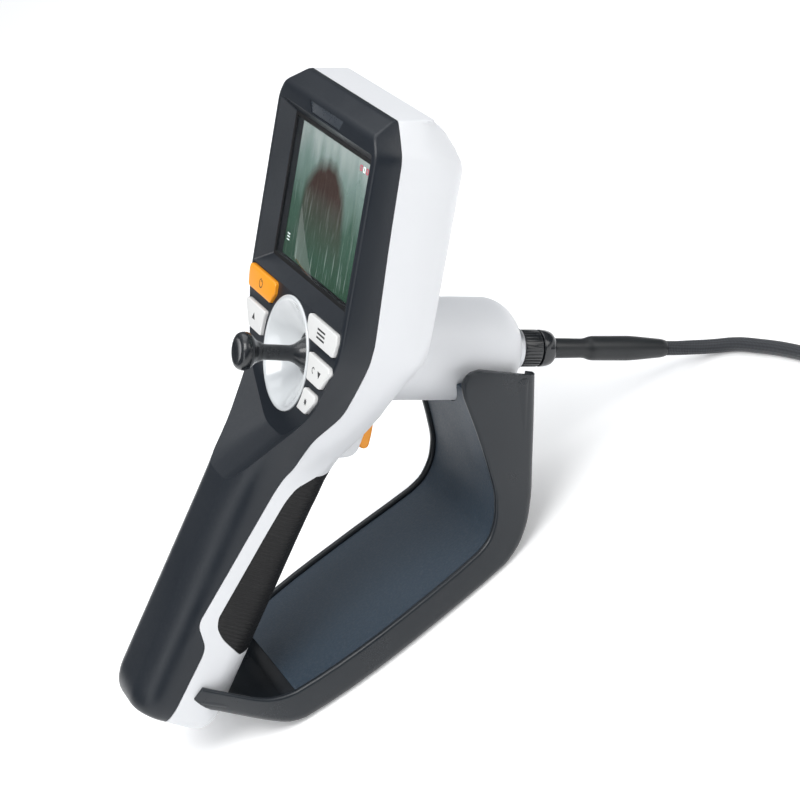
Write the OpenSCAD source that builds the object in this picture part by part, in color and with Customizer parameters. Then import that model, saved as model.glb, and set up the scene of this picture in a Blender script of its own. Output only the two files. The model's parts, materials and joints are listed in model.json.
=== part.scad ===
// Pistol-grip inspection camera with a steered probe, standing on its magnetic guard.
// Origin: centre of the guard's flat base, on the ground. +X runs towards the probe, +Z up.

/* [Stance] */
// Angle between the ground and the line square to the front panel
panel_dip = 42; // [40:0.5:44]
// Angle between the ground and the barrel
barrel_dip = 39.5; // [38:0.5:41]
// Angle between the panel and the handle
grip_rake = 15.3; // [13:0.1:18]
// Height of the joystick's centre above the ground
dish_height = 118; // [116:1:124]
// Distance of the joystick's centre ahead of the base's centre
dish_ahead = 29; // [26:1:34]

/* [Head] */
// Width of the head
head_w = 103; // [96:1:124]
// Depth of the head, front panel to back
head_depth = 40; // [36:1:48]
// Height of the head's top above the joystick
head_top = 103; // [100:1:110]
// Wall of the casing
wall = 2.4; // [1.8:0.1:3]
// Screen width
screen_w = 71; // [60:0.5:76]
// Screen height
screen_h = 53.3; // [45:0.1:57]
// Height of the screen's centre above the joystick
screen_up = 57; // [55:0.5:60]
// Depth of the screen below the front face
screen_sink = 5.8; // [4:0.1:8]

/* [Barrel and handle] */
// Radius of the barrel
barrel_r = 20.5; // [18:0.5:24]
// Distance from the panel to the barrel's end
barrel_reach = 98.5; // [94:0.5:100]
// Width of the handle
grip_w = 38; // [34:1:44]
// Depth of the handle
grip_d = 38.6; // [34:0.2:44]
// Length of the handle below the panel
grip_len = 109; // [100:1:115]
// Thickness of the rubber pad
pad_t = 1.8; // [1:0.1:3]

/* [Joystick] */
// Radius of the white dish
dish_r = 22.6; // [20:0.1:24]
// Radius of the hole at the dish's bottom
dish_hole_r = 8.6; // [8:0.1:10]
// Radius of the joystick's shaft
shaft_r = 3.1; // [2.5:0.1:4]
// Radius of the joystick's knob
knob_r = 7.5; // [6:0.1:9]
// Depth of the joystick's pivot below the front face
pivot_sink = 15.5; // [14:0.5:18]
// Radius of the gimbal's pins
gimbal_pin_r = 1.2; // [1:0.1:1.6]

/* [Keys and trigger] */
// Height of a key above the front face
key_proud = 1.4; // [1.2:0.1:2.4]
// Travel of a key
key_travel = 0.9; // [0.5:0.1:1]
// Width of the trigger
trigger_w = 9; // [7:0.5:12]
// Radius of the trigger's pin
trigger_pin_r = 1.5; // [1.2:0.1:2]

/* [Guard] */
// Thickness of the guard's walls
guard_wall = 3.2; // [2.5:0.1:5]
// Radius of a base magnet
magnet_r = 9; // [6:0.5:12]
// Thickness of a base magnet
magnet_t = 4; // [3:0.5:6]

/* [Probe] */
// Radius of the probe cable
cable_r = 3; // [2.5:0.1:3.5]
// Radius of the knurled nut
nut_r = 7.6; // [7:0.1:9]
// Length of the knurled nut
nut_len = 8.4; // [7:0.1:12]
// Distance from the panel to the end of the strain relief
sleeve_reach = 167; // [160:1:167]
// Number of bending links
link_count = 5; // [3:1:6]
// Length of one bending link
link_len = 6.5; // [5:0.5:9]
// Length of the camera head
camera_len = 24; // [18:1:32]

/* [Fits] */
// Running clearance of a pin in its bore
run_gap = 0.05; // [0.02:0.01:0.1]
// Clearance round a key or a lever
key_gap = 0.4; // [0.3:0.05:0.6]

/* [Hidden] */
$fn = 48;
hull_fn = 28;
skin = 0.02;

white = [0.87, 0.88, 0.89];
slate = [0.19, 0.23, 0.27];
dark = [0.1, 0.11, 0.13];
orange = [0.97, 0.6, 0.1];
steel = [0.7, 0.71, 0.73];
board = [0.1, 0.35, 0.2];

// ---------- frames ----------
barrel_rise = 2;
grip_start = 45;
grip_axis_sink = 1;
thumb_bank = 14;

// x to the user's right, y up the panel, z out of the panel towards the user
module at_panel() translate([dish_ahead, 0, dish_height])
    rotate([0, panel_dip - 90, 0]) rotate([0, 0, -90]) children();

// z along the barrel, away from the user; x down; y to the left
module at_barrel() translate([dish_ahead + barrel_rise * sin(panel_dip), 0,
                              dish_height + barrel_rise * cos(panel_dip)])
    rotate([0, 90 + barrel_dip, 0]) children();

// x to the user's right, y to the front of the handle, z down along it
module at_grip() at_panel() translate([0, -grip_start, -grip_axis_sink])
    rotate([90 - grip_rake, 0, 0]) children();

// a side outline, drawn as [height up the panel, depth behind it], made w wide
module side_block(outline, w) at_panel() rotate([90, 0, 90])
    translate([0, 0, -w / 2]) linear_extrude(w) polygon([for (p = outline) [p[0], -p[1]]]);

function arc(c, r, a0, a1, n) = [for (i = [0:n]) let (a = a0 + (a1 - a0) * i / n) c + r * [cos(a), sin(a)]];

// ---------- casing forms ----------
corner_cut = 8;
corner_drop = 12;
// height out, inset of the sides, drop of the top, height of the lower corners
head_slabs = [[0, 2, 6, 14], [-8, 0, 0, 14], [-24, 0.5, -1.5, 16], [-33, 3, 4, 24], [-38, 7, 11, 30],
              [-40, 11, 16, 34]];
head_slab_depth = 40;
back_plate_half = 38;

module head_outline(inset, top, low) {
    hw = head_w / 2 - inset;
    offset(r = 3, $fn = hull_fn) offset(delta = -3)
        polygon([[-hw + corner_cut, top], [hw - corner_cut, top], [hw, top - corner_drop], [hw, low],
                 [hw - 8, low - 14], [-hw + 8, low - 14], [-hw, low], [-hw, top - corner_drop]]);
}

module head_form(w) at_panel() hull() for (s = head_slabs)
    translate([0, 0, -w + s[0] * (head_depth - 2 * w) / head_slab_depth - skin])
        linear_extrude(skin) head_outline(s[1] + w, head_top - s[2] - w, s[3] + w);

module grip_section(w) offset(r = 12 - w, $fn = hull_fn) square([grip_w - 24, grip_d - 24], center = true);

module neck_form(w) hull() {
    at_panel() {
        translate([0, 0, -w - 24]) linear_extrude(24) polygon([[-head_w / 2 + w, 15], [head_w / 2 - w, 15],
            [head_w / 2 - w - 7, 1], [-head_w / 2 + w + 7, 1]]);
        translate([0, 20, w - head_depth]) linear_extrude(2) square([2 * (back_plate_half - w), 14], center = true);
        translate([0, -20, -33.5]) rotate([0, 90, 0])
            cylinder(h = 20 - 2 * w, r = 3.6 - w / 2, center = true, $fn = hull_fn);
    }
    at_grip() linear_extrude(6) grip_section(w);
}

module grip_form(w, from = 0) at_grip() hull() {
    translate([0, 0, from]) linear_extrude(grip_len - 9 - from) grip_section(w);
    translate([0, 0, grip_len - 3 - w]) linear_extrude(skin) grip_section(w + 1.6);
    translate([0, 0, grip_len - w - skin]) linear_extrude(skin) grip_section(w + 5);
}

dome_start = barrel_reach - 17;
module barrel_form(w) at_barrel() rotate_extrude() polygon(concat([[0, 22]], [[barrel_r - w, 22]],
    [for (a = [0:9:81]) [(barrel_r - w) * cos(a), dome_start + (17 - w) * sin(a)]], [[0, barrel_reach - w]]));

// the edge between the front cover and the rear shell, seen from the side
seam = [[115, 9.5], [60, 10.8], [17, 12.6], [-12, 11], [-25, 4.2], [-34, 2.6], [-39, 1.6], [-44, -1.2],
        [-60, -7.2], [-104, -24.8], [-107, -25], [-115, -21.2], [-119, -21.6], [-170, -38]];
front_side = concat(seam, [[-170, -80], [115, -80]]);
rear_side = concat(seam, [[-170, 60], [-170, 120], [115, 120]]);
pad_line = [[-43, 12.5], [-48, 5], [-54, 1.6], [-103, -17.8], [-107.5, -17.4], [-112, -14.6], [-119, -6],
            [-112, 30], [-43, 40]];

// the key panel: a sunken flat with a sloping bank round it
module key_field(grow) offset(r = 5 + grow, $fn = hull_fn) offset(delta = -5)
    polygon([[-47, 25.7], [47, 25.7], [47, 6], [34, -14], [9, -31], [-9, -31], [-34, -14], [-47, 6]]);
module key_pocket() at_panel() hull() {
    linear_extrude(skin) key_field(0);
    translate([0, -8, 24]) linear_extrude(skin) key_field(14);
}

// ---------- keys ----------
key_in_r = dish_r + 2.6;
module key_wide() intersection() {
    polygon([[18, 22.4], [46.2, 22.4], [47, 20], [45.6, 13.2], [18, 13.2]]);
    difference() { square(120, center = true); circle(key_in_r); }
}
module key_low() intersection() {
    polygon([[20, 8.8], [44.6, 8.8], [45, 7], [38.6, -1.6], [20, -1.6]]);
    difference() { square(120, center = true); circle(key_in_r); }
}
module key_small() intersection() {
    polygon([[22, -5], [36, -5], [36.4, -7], [29.6, -14.6], [18, -14.6]]);
    difference() { square(120, center = true); circle(key_in_r); }
}
module key_shape(name) {
    if (name == "power") mirror([1, 0]) key_wide();
    if (name == "menu") key_wide();
    if (name == "up") mirror([1, 0]) key_low();
    if (name == "down") key_low();
    if (name == "lamp") key_small();
}
key_names = ["power", "menu", "up", "down", "lamp"];
key_root = wall + 1.6;
module key(name) at_panel() translate([0, 0, -key_root + key_travel])
    linear_extrude(key_root + key_proud - key_travel) key_shape(name);

// ---------- casing ----------
screw_r = 1.2;
screw_head_r = 2.2;
screw_head_t = 1.5;
screw_len = 13;
screw_gap = 0.15;
bore_ease = 0.02;
boss_wall = 1.4;
// how far in front of the casing's back the two bosses of a screw meet
boss_join = 14;
screw_seat = boss_join - 3.5;
grip_screw_spots = [10, 100];
grip_seat = 2;
grip_boss_join = 8;
module at_head_screws() at_panel() for (s = [-1, 1])
    translate([s * (head_w / 2 - 11.5), screen_up + window_half[1] + 5.4, -head_depth]) children();
module at_grip_screws() at_grip() for (z = grip_screw_spots)
    translate([0, -grip_d / 2 + pad_t, z]) rotate([-90, 0, 0]) children();
module screw(seat) {
    translate([0, 0, seat]) cylinder(h = screw_len, r = screw_r);
    translate([0, 0, seat - screw_head_t]) cylinder(h = screw_head_t, r = screw_head_r);
}
module screw_hole(seat) {
    translate([0, 0, -20]) cylinder(h = seat + 20, r = screw_head_r + screw_gap, $fn = hull_fn);
    cylinder(h = 30, r = screw_r + screw_gap, $fn = hull_fn);
}
recess_slope = 4.6;
recess_wall = 1.4;
window_half = [screen_w / 2 + 6.5, screen_h / 2 + 2.5];
module window_hole(grow) translate([-window_half[0] - grow, screen_up - window_half[1] - grow])
    square(2 * [window_half[0] + grow, window_half[1] + grow]);

// a well with sloping walls down to the screen
module recess_form(grow) at_panel() hull() {
    translate([0, 0, -screen_sink]) linear_extrude(skin) window_hole(grow);
    translate([0, 0, -skin]) linear_extrude(2 * skin) window_hole(recess_slope + grow);
}

module screw_bore(seat) translate([0, 0, seat])
    cylinder(h = screw_len + 1, r = screw_r + bore_ease, $fn = hull_fn);
module front_posts() difference() {
    union() {
        at_head_screws() translate([0, 0, boss_join])
            cylinder(h = head_depth - boss_join - 1, r = screw_r + boss_wall, $fn = hull_fn);
        at_grip_screws() translate([0, 0, grip_boss_join])
            cylinder(h = grip_d - pad_t - grip_boss_join - 1, r = screw_r + boss_wall, $fn = hull_fn);
    }
    at_head_screws() screw_bore(screw_seat);
    at_grip_screws() screw_bore(grip_seat);
}
module rear_posts() {
    at_head_screws() cylinder(h = boss_join - 0.1, r = screw_head_r + boss_wall, $fn = hull_fn);
    at_grip_screws() cylinder(h = grip_boss_join - 0.1, r = screw_head_r + boss_wall, $fn = hull_fn);
}

module front_cover() color(dark) difference() {
    union() {
        difference() {
            intersection() {
                union() { head_form(0); neck_form(0); grip_form(0); }
                side_block(front_side, 140);
            }
            head_form(wall);
            intersection() {
                neck_form(wall);
                at_panel() translate([-80, -80, -100 - wall]) cube([160, 200, 100]);
            }
            grip_form(wall, thumb_bank);
        }
        front_posts();
        intersection() {
            recess_form(recess_wall);
            at_panel() translate([0, screen_up, -screen_sink])
                cube([200, 200, 2 * screen_sink - 2], center = true);
        }
    }
    recess_form(0);
    key_pocket();
    at_panel() {
        translate([0, 0, -wall - 1]) linear_extrude(wall + 2) offset(delta = key_gap)
            for (n = key_names) key_shape(n);
        translate([0, 0, -12]) cylinder(h = 20, r = dish_r + 0.1);
        badge_recess();
    }
}

module badge_outline(grow) offset(delta = grow) polygon([[-17, 95.6], [17, 95.6], [14, 91.4], [-14, 91.4]]);
module badge_recess() translate([0, 0, -0.8]) linear_extrude(4) badge_outline(0.1);
module badge_plate() color(slate) at_panel() translate([0, 0, -0.8]) linear_extrude(0.6) badge_outline(0);

trigger_block_w = 19;
trigger_slot_w = trigger_w + 1.6;
trigger_block = [[-14, 44], [-22.5, 39.5], [-25.5, 35.2], [-36.6, 32.8], [-38.6, 30], [-39.6, 22], [-46, 16],
                 [-30, 12]];
trigger_pivot = [-19.5, 33.6];
trigger_slot_side = [[-10, 50], [-30, 50], [-60, 50], [-60, 33.4], [-36, 26.5], [-27, 24.5], [-12, 24.5]];
module trigger_slot() side_block(trigger_slot_side, trigger_slot_w);

port_hinge = [24, 27];
port_size = [34, 12.5];
module port_opening(grow) at_panel() translate([-head_w / 2 - 8.5, port_hinge[0] - grow, -port_hinge[1] - grow])
    cube([20, port_size[0] + 2 * grow, port_size[1] + 2 * grow]);

module rear_shell() color(white) difference() {
    intersection() {
        union() {
            head_form(0);
            neck_form(0);
            grip_form(0);
            barrel_form(0);
            side_block(trigger_block, trigger_block_w);
        }
        side_block(rear_side, 140);
    }
    difference() {
        union() {
            head_form(wall);
            neck_form(wall);
            grip_form(wall + pad_t + 0.2);
            barrel_form(wall);
            at_barrel() translate([0, 0, 10]) cylinder(h = 50, r = barrel_r - wall);
        }
        rear_posts();
    }
    // the pad's pocket
    difference() {
        side_block(pad_line, 60);
        grip_form(pad_t);
        neck_form(0);
    }
    trigger_slot();
    trigger_pin();
    port_opening(0.3);
    at_barrel() translate([0, 0, 60]) cylinder(h = 60, r = socket_r);
    at_head_screws() screw_hole(screw_seat);
    at_grip_screws() screw_hole(grip_seat);
}

gasket_t = 2.4;
module screen_gasket() color(dark) at_panel() translate([0, 0, -screen_sink - gasket_t])
    linear_extrude(gasket_t) difference() {
        window_hole(2.2);
        window_hole(-1.6);
    }
glass_t = 1.2;
module screen_window() color([0.2, 0.25, 0.25, 0.5]) at_panel() translate([0, 0, -screen_sink - glass_t])
    linear_extrude(glass_t) window_hole(-1.65);
module screen_panel() color([0.35, 0.42, 0.38]) at_panel()
    translate([-screen_w / 2 - 3, screen_up - screen_h / 2 - 2, -screen_sink - 6])
    cube([screen_w + 6, screen_h + 4, 3.4]);

board_sink = 16;
module main_board() color(board) at_panel() translate([0, 0, -board_sink - 1.6]) {
    translate([-42, 28, 0]) linear_extrude(1.6) square([84, 59]);
    for (c = [[-24, 64, 16], [6, 62, 12], [24, 50, 9], [-8, 44, 10]])
        translate([c[0], c[1], -1.4]) linear_extrude(1.4) square(c[2]);
}
key_board_t = 1.6;
module key_board_outline() difference() {
    polygon([[-46, 23.6], [46, 23.6], [45, 8], [33, -14], [9, -29], [-9, -29], [-33, -14], [-45, 8]]);
    circle(dish_r + 1.8);
}
module key_board() color(board) at_panel() translate([0, 0, -key_root - 2 * key_board_t])
    linear_extrude(key_board_t) key_board_outline();
module key_mat() color([0.25, 0.27, 0.3]) at_panel() translate([0, 0, -key_root - key_board_t])
    linear_extrude(key_board_t - run_gap) key_board_outline();

module grip_pad() color(dark) intersection() {
    difference() { grip_form(0); grip_form(pad_t); neck_form(0); }
    side_block(pad_line, 60);
}

battery_r = 7;
battery_top = 22;
clip_size = [26, 10, 4];
battery_len = 65;
module battery_pack() color([0.2, 0.35, 0.6]) at_grip() for (s = [-1, 1])
    translate([s * (battery_r + run_gap), 2, battery_top]) cylinder(h = battery_len, r = battery_r);
module battery_clip() color(dark) at_grip() {
    for (z = [battery_top - clip_size[2], battery_top + battery_len])
        translate([-clip_size[0] / 2, -3, z]) cube(clip_size);
}

// ---------- joystick ----------
gimbal_cup_r = 12.6;
gimbal_cup_wall = 2;
ring_in_r = 6.6;
ring_out_r = 9;
ring_half = 1.9;
hub_r = 4.4;
dish_floor = 8.4;
module joystick_dish() color(white) at_panel() rotate_extrude() polygon([[dish_r, -0.6], [dish_r - 0.9, 0.5],
    [dish_r - 2.2, 0.2], [14.5, -6.4], [dish_hole_r + 1.4, -dish_floor], [dish_hole_r, -dish_floor - 0.4],
    [dish_hole_r, -dish_floor - 1.6], [12.8, -dish_floor - 1.6], [17, -8], [dish_r, -3]]);
module gimbal_cup() color(slate) at_panel() difference() {
    translate([0, 0, -pivot_sink - 7]) cylinder(h = pivot_sink + 7 - dish_floor - 1.6, r = gimbal_cup_r);
    translate([0, 0, -pivot_sink - 8]) cylinder(h = 30, r = gimbal_cup_r - gimbal_cup_wall);
    translate([-20, 0, -pivot_sink]) rotate([0, 90, 0]) cylinder(h = 40, r = gimbal_pin_r + run_gap);
}
module gimbal_ring() color(steel) at_panel() translate([0, 0, -pivot_sink]) difference() {
    union() {
        translate([0, 0, -ring_half]) cylinder(h = 2 * ring_half, r = ring_out_r);
        rotate([0, 90, 0]) cylinder(h = 2 * gimbal_cup_r - 0.8, r = gimbal_pin_r, center = true);
    }
    translate([0, 0, -ring_half - 1]) cylinder(h = 2 * ring_half + 2, r = ring_in_r);
    rotate([90, 0, 0]) translate([0, 0, -20]) cylinder(h = 40, r = gimbal_pin_r + run_gap);
}
knob_base = 11.3;
plate_sink = 8.5;
plate_r = 6.5;
module joystick_lever() color(dark) at_panel() translate([0, 0, -pivot_sink]) {
    rotate([90, 0, 0]) translate([0, 0, -ring_out_r + 0.3]) cylinder(h = 2 * ring_out_r - 0.6, r = gimbal_pin_r);
    rotate_extrude() polygon([[0, -plate_sink - 1.6], [plate_r, -plate_sink - 1.6], [plate_r, -plate_sink],
        [2.4, -plate_sink], [2.4, -hub_r + 0.8], [hub_r, -1.8], [hub_r, 1.8], [5.6, 4.6], [5.4, 7.2], [3.6, 10.4],
        [shaft_r, 11.4], [shaft_r, pivot_sink + knob_base], [0, pivot_sink + knob_base]]);
}
module joystick_knob() color(dark) at_panel() translate([0, 0, knob_base]) rotate_extrude() polygon(concat(
    [[0, 0], [shaft_r + 0.9, 0]], arc([knob_r - 2.6, 4.2], 2.6, -60, 60, 6), [[knob_r - 2, 8.2]],
    arc([knob_r - 3, 8.4], 1.2, 10, 90, 4), [[2, 9], [0, 8.7]]));

// steering wires run from the bracket behind the joystick to the socket
bracket_depth = 34;
guide_r = 0.9;
guide_ring = 5.5;
module wire_bracket() color(steel) at_barrel() difference() {
    translate([0, 0, bracket_depth]) cylinder(h = 2.4, r = barrel_r - wall - 0.1);
    for (a = [45:90:315]) rotate(a) translate([guide_ring, 0, 0]) cylinder(h = 90, r = guide_r);
    // room for the trigger below
    translate([10, -trigger_slot_w / 2 - 4, 0]) cube([60, trigger_slot_w + 8, 90]);
}
module wire_guides() color([0.5, 0.5, 0.52]) at_barrel() for (a = [45:90:315]) rotate(a)
    translate([guide_ring, 0, bracket_depth]) cylinder(h = barrel_reach - 12 - bracket_depth, r = guide_r);

// ---------- trigger ----------
trigger_lever = [[-15.5, 36], [-19, 37.6], [-23, 39.9], [-28, 40.3], [-32, 40.2], [-36, 39.9], [-37.2, 38.2],
                 [-36.4, 36], [-34, 34.6], [-30, 35.8], [-26, 35.2], [-22.5, 32.2], [-20.5, 30.2], [-17, 30.4]];
module trigger() color(orange) difference() {
    side_block(trigger_lever, trigger_w);
    at_panel() translate([-20, trigger_pivot[0], -trigger_pivot[1]]) rotate([0, 90, 0])
        cylinder(h = 40, r = trigger_pin_r + run_gap);
}
module trigger_pin() color(steel) at_panel() translate([0, trigger_pivot[0], -trigger_pivot[1]])
    rotate([0, 90, 0]) cylinder(h = trigger_block_w - 1, r = trigger_pin_r, center = true);
module trigger_spring() color(steel) at_panel() translate([0, -24.4, -25.4]) rotate([180, 0, 0]) difference() {
    cylinder(h = 6.4, r = 2);
    translate([0, 0, -1]) cylinder(h = 9, r = 1.3);
}
module trigger_switch() color(dark) at_panel() translate([-4, -31, -25.2]) cube([8, 10, 6]);

// ---------- side port ----------
port_pin_r = 0.6;
// the flap's hinge line inside the head's side, back by some more
module at_port_hinge(back) translate([-head_w / 2 + 1.3, port_hinge[0] + 1.5, -port_hinge[1] - back]) children();
module port_cover() color(dark) at_panel() {
    difference() {
        union() {
            translate([-head_w / 2 - 0.2, port_hinge[0] + 1.5, -port_hinge[1]])
                cube([2.2, port_size[0] - 1.5, port_size[1]]);
            at_port_hinge(0) cylinder(h = port_size[1], r = 1.5);
        }
        at_port_hinge(10) cylinder(h = 40, r = port_pin_r + run_gap);
    }
}
module port_pin() color(steel) at_panel() at_port_hinge(0.3) cylinder(h = port_size[1] + 0.6, r = port_pin_r);
module port_board() color(board) at_panel() translate([-head_w / 2 + 7, port_hinge[0] + 4, -port_hinge[1]]) {
    cube([1.4, port_size[0] - 6, port_size[1] - 2]);
    translate([-3.6, 4, 4]) cube([3.6, 9, 4]);
    translate([-3.6, 17, 3]) cube([3.6, 8, 6]);
}

// ---------- guard ----------
// side outline as [along the base, height]: the hand side, then round the saddle and back along the ground
guard_inner = [[-74, 33], [-57, 17.5], [-47, 14.3], [0, 13.7], [42, 13.6], [50, 15.2], [57, 20.5], [62.5, 29],
               [66.5, 42], [70, 56], [73, 71]];
guard_outer = [[103, 56], [92, 39], [82.5, 25], [76, 15.5], [68.5, 7.5], [60, 2.2], [51, 0], [-49, 0], [-55.5, 1.8],
               [-64, 9], [-86, 29]];
saddle_top = [[75.5, 76], [80, 77], [84, 75]];
// plan half-widths of the guard along the base
guard_plan = [[-90, 15], [-78, 19], [-60, 31], [-45, 35], [-20, 38], [10, 38], [45, 36], [62, 33], [80, 28.5],
              [104, 25.5]];
module guard_prism(inset) linear_extrude(200, center = true) polygon(concat(
    [for (p = guard_plan) [p[0], p[1] - inset]],
    [for (i = [len(guard_plan) - 1:-1:0]) [guard_plan[i][0], -guard_plan[i][1] + inset]]));
module guard_side(outline) rotate([90, 0, 0]) linear_extrude(120, center = true) polygon(outline);
liner_sink = 1.6;
liner_t = 2.6;
liner_top = 68.4;
function lifted(line, d) = [for (i = [0:len(line) - 1])
    let (a = line[max(i - 1, 0)], b = line[min(i + 1, len(line) - 1)], t = (b - a) / norm(b - a))
    line[i] + d * [t[1], -t[0]]];
liner_line = [for (i = [1:len(guard_inner) - 1]) guard_inner[i]];
guard_under = [for (i = [0:len(guard_outer) - 2]) guard_outer[i]];
function turned_round(line) = [for (i = [len(line) - 1:-1:0]) line[i]];

module guard_frame() color(slate) difference() {
    intersection() {
        guard_side(concat(guard_inner, saddle_top, guard_outer));
        guard_prism(0);
    }
    // the channel between the side walls, open to the hand side
    intersection() {
        guard_side(concat(lifted(liner_line, -2), lifted(guard_under, guard_wall)));
        guard_prism(guard_wall);
        translate([-54, -60, magnet_t + magnet_cover]) cube([200, 120, 90]);
    }
    grip_form(0);
    at_barrel() cylinder(h = 200, r = barrel_r);
    for (x = magnet_rows, y = [-magnet_y, magnet_y]) translate([x, y, -1]) cylinder(h = magnet_t + 1, r = magnet_r);
}
magnet_cover = 1.2;
magnet_rows = [-30, 0, 30];
magnet_y = 18;
module guard_liner() color(slate) intersection() {
    guard_side(concat(lifted(liner_line, liner_sink), turned_round(lifted(liner_line, liner_sink + liner_t))));
    guard_prism(guard_wall + 0.1);
    difference() {
        translate([-53.9, -60, 0]) cube([200, 120, liner_top]);
        at_barrel() cylinder(h = 200, r = barrel_r);
    }
}
module base_magnets() color(steel) for (x = magnet_rows, y = [-magnet_y, magnet_y])
    translate([x, y, 0.4]) cylinder(h = magnet_t - 0.4, r = magnet_r);
module housing_screws() color(steel) {
    at_head_screws() screw(screw_seat);
    at_grip_screws() screw(grip_seat);
}

// ---------- probe coupling ----------
socket_r = 8.4;
nut_start = barrel_reach + 1;
shell_start = nut_start + nut_len;
sleeve_step = 134.5;
module barrel_socket() color(dark) at_barrel() difference() {
    union() {
        translate([0, 0, barrel_reach - 12]) cylinder(h = 12.6, r = socket_r);
        translate([0, 0, barrel_reach - 12]) cylinder(h = 13 + nut_len - 1, r = nut_r - 1.6);
    }
    translate([0, 0, barrel_reach - 13]) cylinder(h = 40, r = 4.6);
}
module coupling_nut() color(dark) at_barrel() translate([0, 0, nut_start]) difference() {
    union() {
        cylinder(h = nut_len, r = nut_r - 0.5);
        for (i = [0:23]) rotate(i * 15) translate([nut_r - 0.9, -0.5, 0.5]) cube([0.9, 1, nut_len - 1]);
    }
    translate([0, 0, -1]) cylinder(h = nut_len + 2, r = nut_r - 1.6 + run_gap);
}
module coupling_shell() color(dark) at_barrel() translate([0, 0, shell_start + 0.2]) rotate_extrude()
    polygon(concat([[0, -nut_len - 8], [4.6, -nut_len - 8], [4.6, 0], [7.4, 0]], arc([3.8, 2], 3.6, 0, 80, 5),
                   [[4.2, 6.8], [0, 6.8]]));
sleeve_start = shell_start + 7;
module strain_relief() color(dark) at_barrel() rotate_extrude() polygon([[0, sleeve_start], [4, sleeve_start],
    [4, sleeve_step - 5], [5, sleeve_step - 1], [5, sleeve_step + 16], [3.7, sleeve_reach - 1], [3.4, sleeve_reach], [0, sleeve_reach]]);

// ---------- probe cable ----------
sleeve_end = [dish_ahead + barrel_rise * sin(panel_dip) + sleeve_reach * cos(barrel_dip), 0,
              dish_height + barrel_rise * cos(panel_dip) - sleeve_reach * sin(barrel_dip)];
lead_route = concat([sleeve_end], [[163.8, -0.6, 9.8], [168.5, -2.2, 7], [173.1, -5, 4.8], [177.3, -8.6, 3.5],
    [181, -13, 3.1], [184, -18.5, 3.1], [187, -26, 3.1], [190, -34, 3.1], [192.5, -42, 3.1], [194.6, -50, 3.1],
    [196.2, -58, 3.1], [197.4, -65, 3.1], [197.9, -73, 3.1], [198, -81, 3.1]]);
coil_centre = [237, -81];
coil_turn_r = [26.8, 39];
tail_route = [[272.65, -84.75, 9.2], [274, -72.8, 8.9], [275.2, -60.8, 6.5], [275.9, -49, 4.1], [276, -39, 3.2]];
tip_heading = 90;
tip_start = tail_route[len(tail_route) - 1];

function unit(v) = v / norm(v);
function along(p, i) = unit(p[min(i + 1, len(p) - 1)] - p[max(i - 1, 0)]);
module swept_tube(p, r, sides) {
    rings = [for (i = [0:len(p) - 1]) let (t = along(p, i), s = unit(cross([0, 0, 1], t)), n = cross(t, s))
        for (k = [0:sides - 1]) p[i] + r * (cos(360 * k / sides) * s + sin(360 * k / sides) * n)];
    last = len(p) - 1;
    polyhedron(rings, concat([[for (k = [0:sides - 1]) k]], [[for (k = [sides - 1:-1:0]) last * sides + k]],
        [for (i = [0:last - 1], k = [0:sides - 1]) let (m = (k + 1) % sides)
            [i * sides + k, (i + 1) * sides + k, (i + 1) * sides + m, i * sides + m]]));
}
module probe_cable() color(dark) swept_tube(lead_route, cable_r, 10);
module probe_tail() color(dark) swept_tube(tail_route, cable_r, 10);
module probe_coil() color(dark) translate([coil_centre[0], coil_centre[1], 0.1]) rotate_extrude()
    polygon([for (p = [[1.5, 0], [0, 1.5], [0, 10.8], [1.5, 12.2]]) [coil_turn_r[0] - cable_r + p[0], p[1]],
             for (p = [[1.5, 12.2], [0, 10.8], [0, 1.5], [1.5, 0]]) [coil_turn_r[1] + cable_r - p[0], p[1]]]);

module at_tip(d) translate(tip_start) rotate([0, 0, tip_heading]) rotate([0, 90, 0])
    translate([0, 0, d]) children();
collar_len = 10;
link_r = 2.9;
link_gap = 0.5;
// two links meet on an upright pin between a fork's cheeks
fork_half = 1.3;
cheek_half = 2.3;
cheek_r = 1.6;
tongue_half = 1.1;
link_pin_r = 0.6;
module fork_end(d) translate([0, 0, d]) difference() {
    rotate([0, 90, 0]) cylinder(h = 2 * cheek_half, r = cheek_r, center = true);
    cube([2 * fork_half, 20, 20], center = true);
}
module fork_pin(d) translate([0, 0, d]) rotate([0, 90, 0])
    cylinder(h = 2 * cheek_half, r = link_pin_r, center = true);
module fork_slot(d) translate([-fork_half, -10, d - 2.6]) cube([2 * fork_half, 20, 10]);
module tongue() difference() {
    union() {
        rotate([0, 90, 0]) cylinder(h = 2 * tongue_half, r = 1.5, center = true);
        translate([-tongue_half, -1.5, 0]) cube([2 * tongue_half, 3, link_gap + 2]);
    }
    rotate([0, 90, 0]) cylinder(h = 20, r = link_pin_r + run_gap, center = true);
}
module tip_collar() color(steel) at_tip(0) {
    difference() { cylinder(h = collar_len, r = cable_r); fork_slot(collar_len); }
    fork_end(collar_len);
    fork_pin(collar_len);
}
module bending_link(i) color(steel) at_tip(collar_len + (i - 1) * link_len) {
    tongue();
    difference() {
        translate([0, 0, link_gap + 1.4]) cylinder(h = link_len - link_gap - 1.4, r = link_r);
        fork_slot(link_len);
    }
    fork_end(link_len);
    fork_pin(link_len);
}
module camera_head() color(steel) at_tip(collar_len + link_count * link_len) {
    tongue();
    difference() {
        translate([0, 0, link_gap + 1.4]) cylinder(h = camera_len - link_gap - 1.4, r = cable_r);
        translate([0, 0, camera_len - 1]) cylinder(h = 2, r = 1.3);
        for (a = [0:60:300]) rotate(a) translate([2.1, 0, camera_len - 0.6]) cylinder(h = 2, r = 0.4);
    }
}
module camera_lens() color([0.3, 0.4, 0.5, 0.5]) at_tip(collar_len + link_count * link_len + camera_len - 1)
    cylinder(h = 0.8, r = 1.3);
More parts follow.
